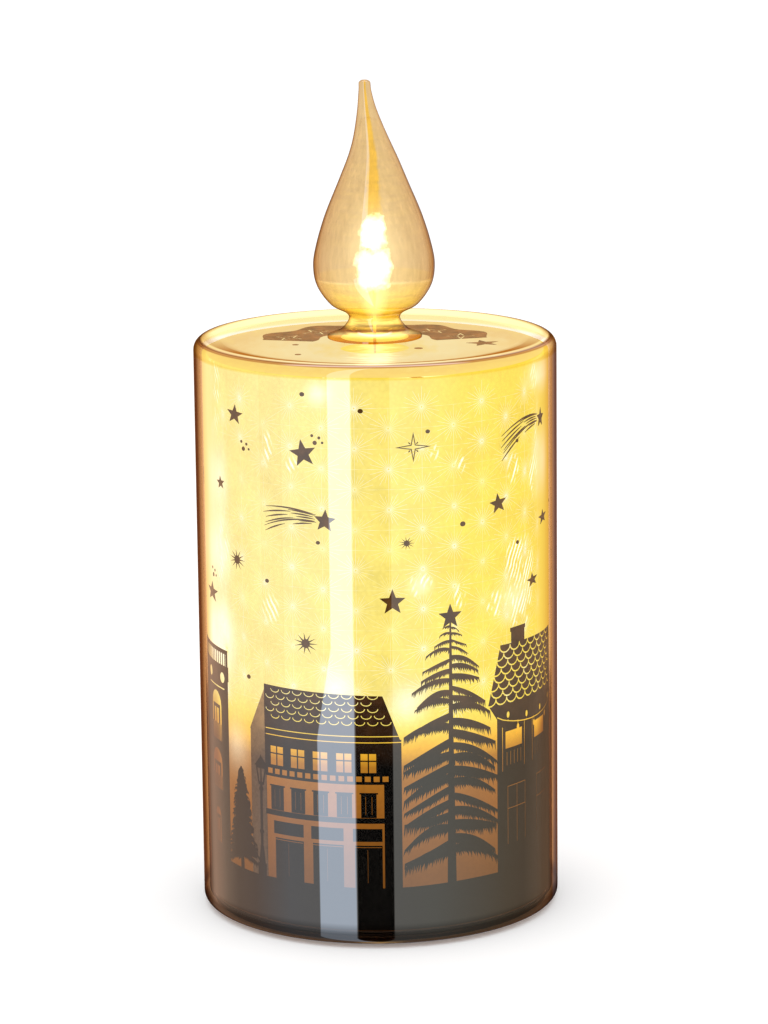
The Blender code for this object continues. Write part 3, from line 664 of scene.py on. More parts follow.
# A lighter brown ink: the print under the film's tucked edge, with painted shade where the film overlaps.
SOFT_INK_AND_SHADE = printed_ink("print_ink_under_and_shade", (0.12, 0.075, 0.05), (0.42, 0.25, 0.10))
# The sky ink is the same print ink with a brighter painted glow.
SKY_INK = printed_ink("print_ink_sky", (0.0015, 0.001, 0.0008), (0.090, 0.038, 0.009))
TOP_INK = printed_ink("print_ink_top", (0.10, 0.05, 0.025), (0.24, 0.10, 0.03))


def dress_nodes():
    """Gives each CAD node that stays the finish of its material slot."""
    for entry in frame["record"]["subparts"]:
        material = MATERIALS.get(entry["material_slot"])
        if material is None:
            continue
        piece = frame["nodes"][entry["node"]]
        piece.data.materials.clear()
        piece.data.materials.append(material)


# ---------------------------------------------------------------- meshes


def piece(name, mesh, material, slot, replaces=()):
    """Links a new piece that rides on the candle, with the given materials; slot is not used."""
    for each in material if isinstance(material, list) else [material]:
        mesh.materials.append(each)
    made = bpy.data.objects.new(name, mesh)
    bpy.context.scene.collection.objects.link(made)
    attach(made, BODY)
    if replaces:
        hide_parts(*replaces)
    return made


def smooth(mesh, degrees=35):
    mesh.shade_smooth()
    mesh.set_sharp_from_angle(angle=math.radians(degrees))


def lathe(name, outline, steps, closed=False, place=None, inside=None):
    """Turns (radius, height) points about Z. Points on the axis close the surface with one vertex. Place
    moves a finished (x, y, z) point, and rows from number inside on take the second material."""
    shape = bmesh.new()
    rings = []
    for radius, height in outline:
        count = 1 if radius < 1e-6 else steps
        ring = []
        for i in range(count):
            angle = math.tau * i / steps
            point = Vector((radius * math.cos(angle), radius * math.sin(angle), height))
            ring.append(shape.verts.new((place(point) if place else point) * MM))
        rings.append(ring)
    pairs = list(zip(rings, rings[1:]))
    if closed:
        pairs.append((rings[-1], rings[0]))
    for row, (upper, lower) in enumerate(pairs):
        for i in range(steps):
            j = (i + 1) % steps
            corners = [upper[i % len(upper)], lower[i % len(lower)]]
            corners += [lower[j % len(lower)], upper[j % len(upper)]]
            face = shape.faces.new(list(dict.fromkeys(corners)))
            face.material_index = 1 if inside is not None and row >= inside else 0
    bmesh.ops.recalc_face_normals(shape, faces=shape.faces)
    mesh = bpy.data.meshes.new(name)
    shape.to_mesh(mesh)
    shape.free()
    smooth(mesh)
    return mesh


def arc(centre, radius, start, end, steps):
    angles = [math.radians(start + (end - start) * i / steps) for i in range(steps + 1)]
    return [(centre[0] + radius * math.cos(a), centre[1] + radius * math.sin(a)) for a in angles]


def smooth_line(points, steps):
    """Points on a Catmull-Rom line through the given points."""
    rows = [Vector(p) for p in points]
    rows = [2 * rows[0] - rows[1], *rows, 2 * rows[-1] - rows[-2]]
    line = []
    for a, b, c, d in zip(rows, rows[1:], rows[2:], rows[3:]):
        for i in range(steps):
            t = i / steps
            square = (2 * a - 5 * b + 4 * c - d) * t**2
            cube = (3 * b - a - 3 * c + d) * t**3
            line.append(tuple(0.5 * (2 * b + (c - a) * t + square + cube)))
    return [*line, tuple(rows[-2])]


def glass_body():
    """The straight wall with rounded shoulder and heel, and the dished top with the hole under the flame."""
    r, top, dish = GLASS_RADIUS, GLASS_TOP, GLASS_TOP - DISH_DEPTH
    inner, underside = GLASS_RADIUS - GLASS_WALL, GLASS_TOP - DISH_DEPTH - TOP_THICKNESS
    rise = [(DISH_RADIUS, dish + 0.02), (DISH_RADIUS + 2, dish + 0.35), (r - SHOULDER_RADIUS, top)]
    outer = [
        (NECK_HOLE_RADIUS, dish), (DISH_RADIUS - 1.5, dish),
        *smooth_line(rise, 4),
        *arc((r - SHOULDER_RADIUS, top - SHOULDER_RADIUS), SHOULDER_RADIUS, 84, 0, 12),
        *arc((r - HEEL_RADIUS, GLASS_BOTTOM + HEEL_RADIUS), HEEL_RADIUS, 0, -90, 8),
        (MOUTH_RADIUS, GLASS_BOTTOM),
    ]
    inward = [
        (MOUTH_RADIUS, GLASS_BOTTOM + 1.2), (inner, GLASS_BOTTOM + 2.8),
        *arc((inner - 1.6, underside - 0.8), 1.6, 0, 90, 6),
        (DISH_RADIUS, underside), (NECK_HOLE_RADIUS, underside),
    ]
    mesh = lathe("glass_shell", outer + inward, GLASS_STEPS, closed=True, inside=len(outer))
    return piece("glass_shell", mesh, BODY_GLASS, "amber_glass", ["glass_body"])


def flame_glass():
    """The blown drop: solid nub, hollow belly, narrow neck and flared foot; its tip leans a little left."""
    base = box_mm("flame_glass")[0].z - FLAME_FOOT_LIFT
    total = FLAME_TOP - base
    side = [
        (1.6, 70.2), (1.8, 67.6), (2.85, 62.1), (5.3, 53.9), (9.25, 44.0), (13.3, 34.2), (15.8, 26.0),
        (16.7, 20.2), (15.7, 14.7), (12.1, 9.6), (7.9, 7.2), (7.1, 5.3), (9.3, 2.5),
        (FLAME_FOOT_RADIUS, 0.9),
    ]
    outer = [(0.0, total), (0.8, total - 0.1), (1.4, total - 0.45), *smooth_line(side, 8)]
    outer.append((FLAME_FOOT_RADIUS, FLAME_FOOT_LIFT))
    thick_enough = FLAME_WALL + 0.9
    hollow = [(r - FLAME_WALL, h) for r, h in outer if 1.5 < h < FLAME_HOLLOW_TOP and r > thick_enough]
    outline = [*outer, (FLAME_FOOT_HOLE, FLAME_FOOT_LIFT), *reversed(hollow), (0.0, FLAME_HOLLOW_TOP)]

    def lean(point):
        t = min(max((point.z - FLAME_LEAN_START) / (total - FLAME_LEAN_START), 0.0), 1.0)
        return Vector((point.x - FLAME_LEAN * t * t * (3 - 2 * t), point.y, point.z + base))

    mesh = lathe("flame_shell", outline, 128, place=lean, inside=len(outer))
    return piece("flame_shell", mesh, FLAME_GLASS, "amber_glass", ["flame_glass"])


def film_tuck(degrees):
    """How far the picture film lies inside its radius, at an angle round from the front."""
    short = (degrees - SEAM_DEG) % 360
    return TUCK_DEPTH * max(0.0, short - 360 + TUCK_DEG) / TUCK_DEG


def round_film(s, h, radius):
    """The point at distance s round the film and height h."""
    angle = s / PICTURE_RADIUS
    return Vector((radius * math.sin(angle), -radius * math.cos(angle), h)) * MM


def rolled(name, columns, rows, point):
    """A closed thin sheet from two grids of points; a point is a function of its column, row and depth."""
    shape = bmesh.new()

    def grid(depth):
        return [[shape.verts.new(point(i, j, depth)) for j in range(rows + 1)] for i in range(columns + 1)]

    outer, inner = grid(0.0), grid(FILM_THICKNESS)
    for i in range(columns):
        for j in range(rows):
            shape.faces.new((outer[i][j], outer[i + 1][j], outer[i + 1][j + 1], outer[i][j + 1]))
            shape.faces.new((inner[i][j], inner[i][j + 1], inner[i + 1][j + 1], inner[i + 1][j]))
    for i in range(columns):
        shape.faces.new((outer[i][0], inner[i][0], inner[i + 1][0], outer[i + 1][0]))
        shape.faces.new((outer[i][rows], outer[i + 1][rows], inner[i + 1][rows], inner[i][rows]))
    for j in range(rows):
        shape.faces.new((outer[0][j], outer[0][j + 1], inner[0][j + 1], inner[0][j]))
        shape.faces.new((outer[columns][j], inner[columns][j], inner[columns][j + 1], outer[columns][j + 1]))
    bmesh.ops.recalc_face_normals(shape, faces=shape.faces)
    mesh = bpy.data.meshes.new(name)
    shape.to_mesh(mesh)
    shape.free()
    smooth(mesh)
    return mesh


def picture_film():
    """The clear film, rolled once round with its last edge tucked under its first."""
    columns, rows, turn = 368, 60, 368.0

    def at(i, j, depth):
        degrees = SEAM_DEG + turn * i / columns
        tuck = film_tuck(degrees) if i < 360 else TUCK_DEPTH
        angle = math.radians(degrees)
        radius = PICTURE_RADIUS - tuck - depth
        height = FILM_BOTTOM + (FILM_TOP - FILM_BOTTOM) * j / rows
        return Vector((radius * math.sin(angle), -radius * math.cos(angle), height)) * MM

    mesh = rolled("picture_sheet", columns, rows, at)
    paint_glow(mesh)
    return piece("picture_sheet", mesh, CLEAR_FILM, "picture_film", ["picture_film"])


# ---------------------------------------------------------------- the glow


def bump_field(s, h, spots):
    """The sum of soft round spots, each (column, row, half-width, half-height, strength)."""
    total = np.zeros_like(s)
    for column, row, wide, tall, strength in spots:
        centre_s, centre_h = on_grid(column, row)
        away = (s - centre_s + PRINT_LENGTH / 2) % PRINT_LENGTH - PRINT_LENGTH / 2
        total += strength * np.exp(-((away / wide) ** 2) - ((h - centre_h) / tall) ** 2)
    return total


def glow_colours(s, h):
    """The lit film's colour at points round it: dark brown at the foot, orange above it, then clear yellow,
    a little whiter on the left, with soft white patches."""
    heights = [0, 20, 37, 45, 50, 55, 60, 64, 150, 158]
    reds = [0.12, 0.19, 0.30, 0.36, 0.45, 0.95, 1.0, 1.0, 1.0, 1.0]
    greens = [0.04, 0.07, 0.11, 0.14, 0.19, 0.52, 0.75, 0.81, 0.80, 0.78]
    blues = [0.006, 0.012, 0.016, 0.018, 0.02, 0.04, 0.10, 0.115, 0.11, 0.11]
    colours = np.stack([np.interp(h, heights, row) for row in (reds, greens, blues)], axis=-1)
    pale = np.array([1.0, 0.88, 0.35])
    turn = np.cos(s / PICTURE_RADIUS + math.radians(75))
    lift = np.clip(0.25 + 0.9 * turn, 0.0, 1.0) * np.clip((h - 58) / 10, 0.0, 1.0)
    colours += (pale - colours) * lift[:, None]
    white = np.array([1.25, 1.22, 1.02])
    spots = np.clip(bump_field(s, h, LAMP_SPOTS), 0.0, 1.0)
    return colours + (white - colours) * spots[:, None]


# Soft white spots of the glow: (column, row, half-width, half-height, strength).
LAMP_SPOTS = [
    (-12, 13, 6, 7, 0.35), (-14, 20, 7, 9, 1.5), (-14, 26, 6, 9, 0.9), (-14, 31, 5, 9, 0.7),
    (-4, 38, 3, 3, 0.7), (-3, 18, 4, 4, 0.5), (2, 17, 5, 5, 0.6), (3, 25, 3, 3, 0.5),
    (11, 23, 7, 5, 0.45), (15, 32, 5, 8, 0.5), (15, 38, 7, 4, 0.6), (24, 30, 8, 10, 0.7),
    (28, 20, 9, 6, 0.6), (34, 35, 7, 8, 0.7), (38, 24, 9, 9, 0.7), (43, 31, 7, 7, 0.6),
    (48, 20, 8, 8, 0.7), (51, 34, 7, 8, 0.7), (56, 26, 8, 9, 0.6),
]
# Patches of slanted dashes of light, given the same way.
STREAK_PATCHES = [
    (-15, 37, 6, 12, 0.8), (-14, 26, 6, 9, 0.9), (-8, 34, 2, 5, 0.8), (-6, 33, 2, 3, 0.8),
    (-8, 23, 3, 4, 0.8), (3, 25, 3, 3, 1.0), (6, 24, 2, 3, 1.0), (6, 33, 1.5, 2, 1.0),
    (4, 34, 1.5, 2, 1.0), (9, 23, 3, 3, 1.0), (12, 22, 5, 5, 1.1), (11, 26, 2.5, 3, 1.0),
    (11, 32, 2.5, 4, 1.0), (12, 25, 7, 8, 1.0), (14, 31, 4, 6, 0.8), (15, 34, 3, 6, 0.9),
    (15, 38, 6, 4, 0.9), (21, 35, 4, 6, 0.8), (26, 32, 5, 6, 0.8), (30, 24, 4, 5, 0.8),
    (36, 28, 6, 5, 0.8), (41, 34, 4, 6, 0.8), (48, 24, 5, 5, 0.8), (54, 33, 5, 7, 0.8),
]


def paint_glow(mesh):
    """Stores the film's glow and its slanted streaks on a mesh's points."""
    count = len(mesh.vertices)
    places = np.empty(count * 3)
    mesh.vertices.foreach_get("co", places)
    x, y, z = places.reshape(count, 3).T / MM
    s = np.arctan2(x, -y) * PICTURE_RADIUS
    colours = np.ones((count, 4))
    colours[:, :3] = glow_colours(s, z)
    mesh.attributes.new("glow", "FLOAT_COLOR", "POINT").data.foreach_set("color", colours.ravel())
    streaks = np.clip(bump_field(s, z, STREAK_PATCHES), 0.0, 1.0)
    mesh.attributes.new("streak", "FLOAT", "POINT").data.foreach_set("value", streaks)
    mesh.attributes.new("around", "FLOAT", "POINT").data.foreach_set("value", s)


def light_film():
    """The printed, lit film behind the picture, rolled once round with its seam at the side."""
    columns, rows, turn = 240, 110, 359.5

    def at(i, j, depth):
        angle = math.radians(90 + turn * i / columns)
        radius = LIGHT_RADIUS - depth
        height = FILM_BOTTOM + (FILM_TOP - FILM_BOTTOM) * j / rows
        return Vector((radius * math.sin(angle), -radius * math.cos(angle), height)) * MM

    mesh = rolled("light_sheet", columns, rows, at)
    paint_glow(mesh)
    return piece("light_sheet", mesh, GLOW_FILM, "light_film", ["light_film"])


RAY_NET = [(0, 9.3), (15, 5.2), (30.6, 5.5), (46, 3.8), (60, 5.0), (75, 3.8), (90, 5.6)]


def ray_lines():
    """Star rays printed on the lit film: a staggered grid of stars, their rays just meeting."""
    across, along, width = 9.3, 11.0, 0.10
    inner, outer = LIGHT_RADIUS + 0.02, LIGHT_RADIUS + 0.07
    verts, faces = [], []

    def ray(s, h, angle, reach):
        """A flat-backed ridge from a star's middle, tapering towards its tip."""
        way = Vector((math.cos(angle), math.sin(angle)))
        side = Vector((-way.y, way.x))
        start = len(verts)
        for t, scale in ((0.25, 1.0), (reach / 2, 0.9), (reach, 0.6)):
            middle = Vector((s, h)) + way * t
            for offset, radius in ((-0.5, inner), (0.0, outer), (0.5, inner)):
                point = middle + side * offset * width * scale
                verts.append(round_film(point.x, point.y, radius))
        for ring in (start, start + 3):
            for a, b in ((0, 1), (1, 2), (2, 0)):
                faces.append((ring + a, ring + b, ring + 3 + b, ring + 3 + a))
        faces.append((start, start + 2, start + 1))
        faces.append((start + 6, start + 7, start + 8))

    columns = int((PRINT_LENGTH - 6) / across)
    for column in range(columns):
        s = PRINT_LENGTH / 4 + 5 + column * across
        first = 66.0 + (along / 2 if column % 2 else 0.0)
        for row in range(8):
            h = first + row * along
            for angle, reach in RAY_NET:
                for turn in sorted({angle, 180 - angle, 180 + angle, (360 - angle) % 360}):
                    ray(s, h, math.radians(turn), reach)
    mesh = bpy.data.meshes.new("star_rays")
    mesh.from_pydata(verts, [], faces)
    mesh.validate()
    shape = bmesh.new()
    shape.from_mesh(mesh)
    bmesh.ops.recalc_face_normals(shape, faces=shape.faces)
    shape.to_mesh(mesh)
    shape.free()
    return piece("star_rays", mesh, RAY_LINES, "ray_lines")


# ---------------------------------------------------------------- the print


def inside(outline, points):
    """Which points an outline goes round, whichever way it runs and even where it crosses itself."""
    x, y = points.T
    turns = np.zeros(len(points), int)
    for (x0, y0), (x1, y1) in zip(outline, outline[1:] + outline[:1]):
        if y0 != y1:
            crossed = (y0 > y) != (y1 > y)
            right = x0 + (y - y0) * (x1 - x0) / (y1 - y0) > x
            turns += np.where(crossed & right, 1 if y1 > y0 else -1, 0)
    return turns != 0


def printed(name, layers, material, wrap=True, base=PICTURE_RADIUS, thickness=INK_THICKNESS):
    """Thin relief from flat shapes painted in order: each layer is (outline, inked), and a later layer
    covers or clears what lies under it. It is wrapped round the film, or laid flat at height base."""
    points, edges = [], []
    for outline, _ in layers:
        start = len(points)
        points += [Vector(p[:2]) for p in outline]
        edges += [(i, i + 1) for i in range(start, len(points) - 1)] + [(len(points) - 1, start)]
    if wrap:
        low = min(p.x for p in points)
        high = max(p.x for p in points)
        floor = min(p.y for p in points) - 1
        ceiling = max(p.y for p in points) + 1
        for k in range(math.ceil(low / BEND_STEP), math.ceil(high / BEND_STEP)):
            edges.append((len(points), len(points) + 1))
            points += [Vector((k * BEND_STEP, floor)), Vector((k * BEND_STEP, ceiling))]
    flat, _, triangles, _, _, _ = geometry.delaunay_2d_cdt(points, edges, [], 0, 1e-4, True)
    middles = np.array([sum((flat[i] for i in tri), Vector((0.0, 0.0))) / 3 for tri in triangles])
    inked = np.zeros(len(triangles), bool)
    for outline, solid in layers:
        inked[inside(outline, middles)] = solid
    kept = [tri for tri, keep in zip(triangles, inked) if keep]
    used = sorted({i for tri in kept for i in tri})
    place = {old: new for new, old in enumerate(used)}
    kept = [tuple(place[i] for i in tri) for tri in kept]
    count = len(used)

    def solid_point(point, lift):
        if not wrap:
            return Vector((point.x, point.y, base + lift)) * MM
        tuck = film_tuck(math.degrees(point.x / PICTURE_RADIUS))
        return round_film(point.x, point.y, base - tuck + lift)

    gap = 0.01
    verts = [solid_point(flat[i], thickness) for i in used] + [solid_point(flat[i], gap) for i in used]
    sides = {(a, b) for tri in kept for a, b in zip(tri, tri[1:] + tri[:1])}
    faces = list(kept)
    faces += [(c + count, b + count, a + count) for a, b, c in kept]
    faces += [(b, a, a + count, b + count) for a, b in sorted(sides) if (b, a) not in sides]
    mesh = bpy.data.meshes.new(name)
    mesh.from_pydata(verts, [], faces)
    mesh.validate()
    mesh.shade_smooth()
    mesh.set_sharp_from_angle(angle=math.radians(30))
    return piece(name, mesh, material, "print_ink")


def ink(outline):
    return outline, True


def clear(outline):
    return outline, False


def rect(s0, h0, s1, h1):
    return [(s0, h0), (s1, h0), (s1, h1), (s0, h1)]


def disc(s, h, radius, steps=14, tall=1.0):
    turns = [math.tau * i / steps for i in range(steps)]
    return [(s + radius * math.cos(t), h + radius * tall * math.sin(t)) for t in turns]


def star(s, h, radius, turn=0.0, tips=5, inner=0.42, wide=1.0):
    """A star with one tip straight up at turn 0, stretched sideways by wide."""
    outline = []
    for i in range(tips * 2):
        reach = radius * (1.0 if i % 2 == 0 else inner)
        angle = math.radians(90 + turn) + math.pi * i / tips
        outline.append((s + wide * reach * math.cos(angle), h + reach * math.sin(angle)))
    return outline


def stroke(points, width, taper=0.0):
    """A line with rounded-off width; taper 1 brings both ends to a point."""
    left, right = [], []
    last = len(points) - 1
    for i, (s, h) in enumerate(points):
        before, after = points[max(i - 1, 0)], points[min(i + 1, last)]
        way = Vector((after[0] - before[0], after[1] - before[1])).normalized()
        half = width / 2 * (1 - taper * abs(2 * i / last - 1) ** 1.5 * 0.94)
        left.append((s - way.y * half, h + way.x * half))
        right.append((s + way.y * half, h - way.x * half))
    return left + right[::-1]


def bowl(s, h, wide, deep, width, steps=7):
    """A U-shaped line hanging from height h: the lower edge of one roof scale."""
    turns = [math.pi * (1 + i / steps) for i in range(steps + 1)]
    return stroke([(s + wide / 2 * math.cos(t), h + deep * math.sin(t)) for t in turns], width)


def scales(left, right, low, high, pitch, row, width, deep, full=0.78):
    """Rows of roof scales drawn as clear lines, each row half a scale along from the last."""
    layers = []
    count = int((high - low) / row)
    for k in range(count):
        h = high - k * row
        lean = (high - h) / (high - low)
        start, end = left(lean), right(lean)
        s = start + pitch * (0.5 if k % 2 else 1.0)
        while s + pitch / 2 <= end + 0.3:
            layers.append(clear(bowl(s, h, pitch * full, deep, width)))
            s += pitch
    return layers


def pane_window(s, low, high, wide, bar=0.35, split=0.62):
    """Four panes of clear film: two tall ones with two short ones above."""
    layers = []
    middle = low + (high - low) * split
    for side in (-1, 1):
        near, far = s + side * bar / 2, s + side * wide / 2
        layers.append(clear(rect(min(near, far), low, max(near, far), middle - bar / 2)))
        layers.append(clear(rect(min(near, far), middle + bar / 2, max(near, far), high)))
    return layers


def shop_house(left, wall_right, seam_cut):
    """A half-timbered house: scaled roof, lit windows, open pale front with shutters, signs and doors."""
    wide = wall_right - left
    eave_right = wall_right - 0.2
    eave, ridge_right, ridge_left = 57.6, 70.2, 71.2
    if seam_cut:
        roof = [(left, eave), (eave_right, eave), (wall_right - 5.0, ridge_right), (left, ridge_left)]
    else:
        roof = [(left - 2, eave), (eave_right + 2, eave)]
        roof += [(wall_right - 4.0, ridge_right), (left + 4.0, ridge_left)]
    wall_left = left if seam_cut else left + 1.0
    layers = [ink(roof), ink(rect(wall_left, 45.6, wall_right, 58.0))]

    def roof_left(lean):
        return left + 0.2 if seam_cut else left + 3.4 - 5.4 * lean

    def roof_right(lean):
        return wall_right - 5.4 + 4.2 * lean

    layers += scales(roof_left, roof_right, 59.4, 70.3, 3.55, 1.82, 0.24, 0.95)
    for h in (59.0, 57.3):
        layers.append(clear(rect(wall_left, h - 0.13, wall_right, h + 0.13)))
    pitch = 6.68
    first = left + 4.1
    windows = [first + pitch * i for i in range(int((wide - 7) / pitch) + 1)]
    for s in windows:
        layers += pane_window(s, 48.9, 54.2, 4.2)
    for i in range(int((wide - 3) / 2.4)):
        s = wall_left + 1.0 + 2.4 * i
        layers.append(clear(rect(s, 46.4, s + 1.6, 47.9)))
    open_right = wall_right - 4.8
    for s in windows:
        layers.append(ink(rect(s - 2.1, 36.3, s + 2.1, 42.9)))
        layers.append(ink(rect(s - 2.5, 42.9, s + 2.5, 43.3)))
        for offset in (-0.85, 0.85):
            layers.append(clear(rect(s + offset - 0.05, 37.2, s + offset + 0.05, 42.2)))
    layers.append(ink(rect(wall_left, 34.7, open_right, 36.2)))
    bays = [(left + 2.8, left + 12.3), (left + 14.6, left + 23.8), (left + 26.4, left + 34.4)]
    for start, end in bays:
        layers.append(ink(rect(start, 29.6, end, 33.2)))
        layers.append(ink(rect(start + 0.5, GROUND_TOP - 1.0, end, 28.5)))
        middle = (start + end) / 2
        layers.append(clear(rect(middle - 0.05, GROUND_TOP + 1.5, middle + 0.05, 27.3)))
        layers.append(clear(rect(start + 0.2, 27.9, end - 0.2, 28.1)))
    layers.append(ink(rect(open_right, GROUND_TOP - 1.0, wall_right, 46.0)))
    return layers


def bough(s, h, reach, droop, thick, side, rng, needle):
    """One fir branch: an arched top running to a drooping tip, with ragged needles hanging below."""
    teeth = max(3, int(reach / 0.55))
    arch = rng.uniform(-0.02, 0.13)
    sweep = rng.uniform(0.9, 1.6)

    def top(t):
        return s + side * reach * t, h + reach * arch * math.sin(math.pi * t) - droop * t**sweep

    outline = [top(i / 10) for i in range(11)]
    for i in range(teeth):
        t = 1 - (i + 0.6) / teeth
        edge_s, edge_h = top(t)
        low = edge_h - thick * (0.30 + 0.9 * math.sin(math.pi * min(1.0, 0.25 + 0.75 * t)))
        drop = needle * rng.uniform(0.35, 1.2) * (0.6 + 0.4 * t)
        outline.append((edge_s + side * rng.uniform(0.25, 0.75), low - drop))
        outline.append((edge_s - side * 0.14, low + 0.15))
    outline.append((s, h - thick * 0.9))
    return outline


def fir(centre, foot, top, widths, seed, pitch=4.2, trunk=1.1, limit=None, core=0.0):
    """A fir from the ground up; widths gives its half-width at heights. Limit keeps boughs inside a panel,
    and core is how far out, in half-widths, its boughs close up solid."""
    rng = random.Random(seed)
    stem = [(centre - trunk, foot), (centre + trunk, foot), (centre + 0.25, top), (centre - 0.25, top)]
    layers = [ink(stem)]
    heights, halves = zip(*widths)
    if core:
        sides = [[], []]
        for h in np.arange(foot + (top - foot) * 0.15, top - 1.0, 0.8):
            for side in sides:
                half = float(np.interp(h, heights, halves)) * core * rng.uniform(0.65, 1.1)
                side.append((centre + (half if side is sides[1] else -half), float(h)))
        layers.append(ink(sides[0] + [(centre, top)] + sides[1][::-1]))
    for side in (-1, 1):
        h = top - 0.8 - (0.6 if side > 0 else 0.0)
        while h > foot + (top - foot) * 0.13:
            half = float(np.interp(h, heights, halves))
            reach = half * rng.uniform(0.86, 1.08)
            if limit:
                room = (limit[1] - centre) if side > 0 else (centre - limit[0])
                reach = min(reach, room - 0.3)
            size = half / max(halves)
            thick = 0.4 + size**1.7 * pitch * rng.uniform(0.36, 0.56)
            droop = reach * rng.uniform(0.18, 0.52)
            needle = 0.5 + size * pitch * rng.uniform(0.36, 0.60)
            layers.append(ink(bough(centre, h, reach, droop, thick, side, rng, needle)))
            h -= pitch * (0.36 + 0.52 * min(size * 1.15, 1.0)) * rng.uniform(0.82, 1.18)
    return layers


def lamp_post(s, foot, top):
    """A street lamp: stepped base, slim post, and a glazed lantern under a small roof."""
    lantern = top - 8.5
    layers = [
        ink(rect(s - 1.5, foot, s + 1.5, foot + 4)),
        ink([(s - 1.1, foot + 4), (s + 1.1, foot + 4), (s + 0.5, foot + 9), (s - 0.5, foot + 9)]),
        ink(rect(s - 0.42, foot + 8.5, s + 0.42, lantern)),
        ink([(s - 0.9, lantern), (s + 0.9, lantern), (s + 1.9, top - 3.2), (s - 1.9, top - 3.2)]),
        ink([(s - 2.3, top - 3.2), (s + 2.3, top - 3.2), (s + 0.5, top - 0.9), (s - 0.5, top - 0.9)]),
        ink([(s - 0.35, top - 1.0), (s + 0.35, top - 1.0), (s, top)]),
        ink(disc(s, foot + 13, 0.75)),
        ink(disc(s, lantern - 1.2, 0.75)),
    ]
    for side in (-1, 1):
        pane = [(s + side * 0.18, lantern + 0.8), (s + side * 0.7, lantern + 0.8)]
        pane += [(s + side * 1.35, top - 3.9), (s + side * 0.18, top - 3.9)]
        layers.append(clear(pane if side > 0 else pane[::-1]))
    return layers


def scale_roof_house(left, right):
    """A tall house with a big scaled roof, a chimney, a string of bulbs and two lit windows."""
    wall = left + 3.2
    ridge_left, ridge_right = left + 4.6, right - 2.0
    roof = [(left, 64.4), (wall, 60.0), (right, 60.0), (right, 66.0)]
    roof += [(ridge_right, 79.6), (ridge_left, 80.6)]
    layers = [
        ink(roof),
        ink(rect(wall, GROUND_TOP - 1.0, right - 0.5, 61.0)),
        ink(rect(ridge_left + 4.4, 80.0, ridge_left + 10.6, 84.0)),
        ink(rect(ridge_left + 4.0, 83.6, ridge_left + 11.0, 84.7)),
    ]

    def edge_left(lean):
        return left + 2.2 - 4.2 * lean

    def edge_right(lean):
        return right - 2.6 + 1.6 * lean

    layers += scales(edge_left, edge_right, 63.6, 80.2, 4.2, 2.05, 0.42, 1.8, 1.02)
    wide = right - wall
    string = [(wall + wide * i / 16, 60.6 - 3.4 * math.sin(math.pi * i / 17) ** 0.7) for i in range(17)]
    layers.append(clear(stroke(string, 0.28)))
    for i in range(2, 16, 2):
        s, h = string[i]
        layers.append(clear(disc(s, h + (1.7 if i % 4 else -1.6), 0.62, 10, 1.5)))
        layers.append(clear(rect(s - 0.14, min(h, h + (0.8 if i % 4 else -0.8)), s + 0.14, h + 0.4)))
    for start in (wall + 3.2, wall + 17.5):
        layers.append(clear(rect(start, 51.2, start + 7.4, 56.0)))
        for k in range(5):
            s = start + 0.5 + 1.55 * k
            layers.append(clear(rect(s, 46.4, s + 0.22, 50.2)))
        for s in (start - 1.3, start + 8.5):
            layers.append(clear(rect(s, 45.0, s + 0.28, 57.4)))
    for start in (wall + 4.0, wall + 19.0):
        frame_lines = [rect(start, 24, start + 0.22, 40.5), rect(start + 8, 24, start + 8.22, 40.5)]
        frame_lines += [rect(start + 4, 24, start + 4.22, 40.5), rect(start, 40.3, start + 8.2, 40.5)]
        frame_lines.append(rect(start, 34.0, start + 8.2, 34.2))
        layers += [clear(line) for line in frame_lines]
    return layers


HALF_TURN = [math.pi * i / 8 for i in range(9)]


def balcony_house(left, right):
    """A narrow town house: balcony rail on top, round windows, arched windows with railings."""
    layers = [
        ink(rect(left, GROUND_TOP - 1.0, right, 69.0)),
        ink(rect(left, 68.5, right + 0.4, 72.6)),
        ink(rect(left, 76.0, right, 77.2)),
    ]
    for i in range(int((right - left) / 1.5)):
        s = left + 0.8 + 1.5 * i
        layers.append(ink(rect(s, 72.4, s + 0.42, 76.2)))
    layers.append(ink(rect(right - 1.0, 72.4, right, 77.2)))
    centre = right - 8.3
    while centre > left + 5:
        layers += [clear(disc(centre + side, 69.0, 1.5, 16)) for side in (-4.9, 4.9)]
        layers.append(clear(rect(centre - 6.2, 65.7, centre + 6.2, 66.1)))
        for low, tall, half in ((50.5, 14.0, 3.9), (36.5, 11.5, 3.9), (21.0, 10.0, 2.2)):
            spring = low + tall - half
            arch = rect(centre - half, low, centre + half, spring)[:2]
            arch += [(centre + half * math.cos(t), spring + half * math.sin(t)) for t in HALF_TURN]
            rail = low + tall * 0.34
            layers.append(clear(arch))
            layers.append(ink(rect(centre - half * 0.72, rail, centre + half * 0.72, spring)))
            layers.append(clear(rect(centre - half * 0.5, rail, centre + half * 0.5, spring - 1.0)))
            layers.append(ink(rect(centre - 0.15, rail, centre + 0.15, spring)))
            for k in range(int(half * 2 / 0.95)):
                s = centre - half + 0.35 + 0.95 * k
                layers.append(ink(rect(s, low, s + 0.38, rail)))
        centre -= 17.0
    return layers


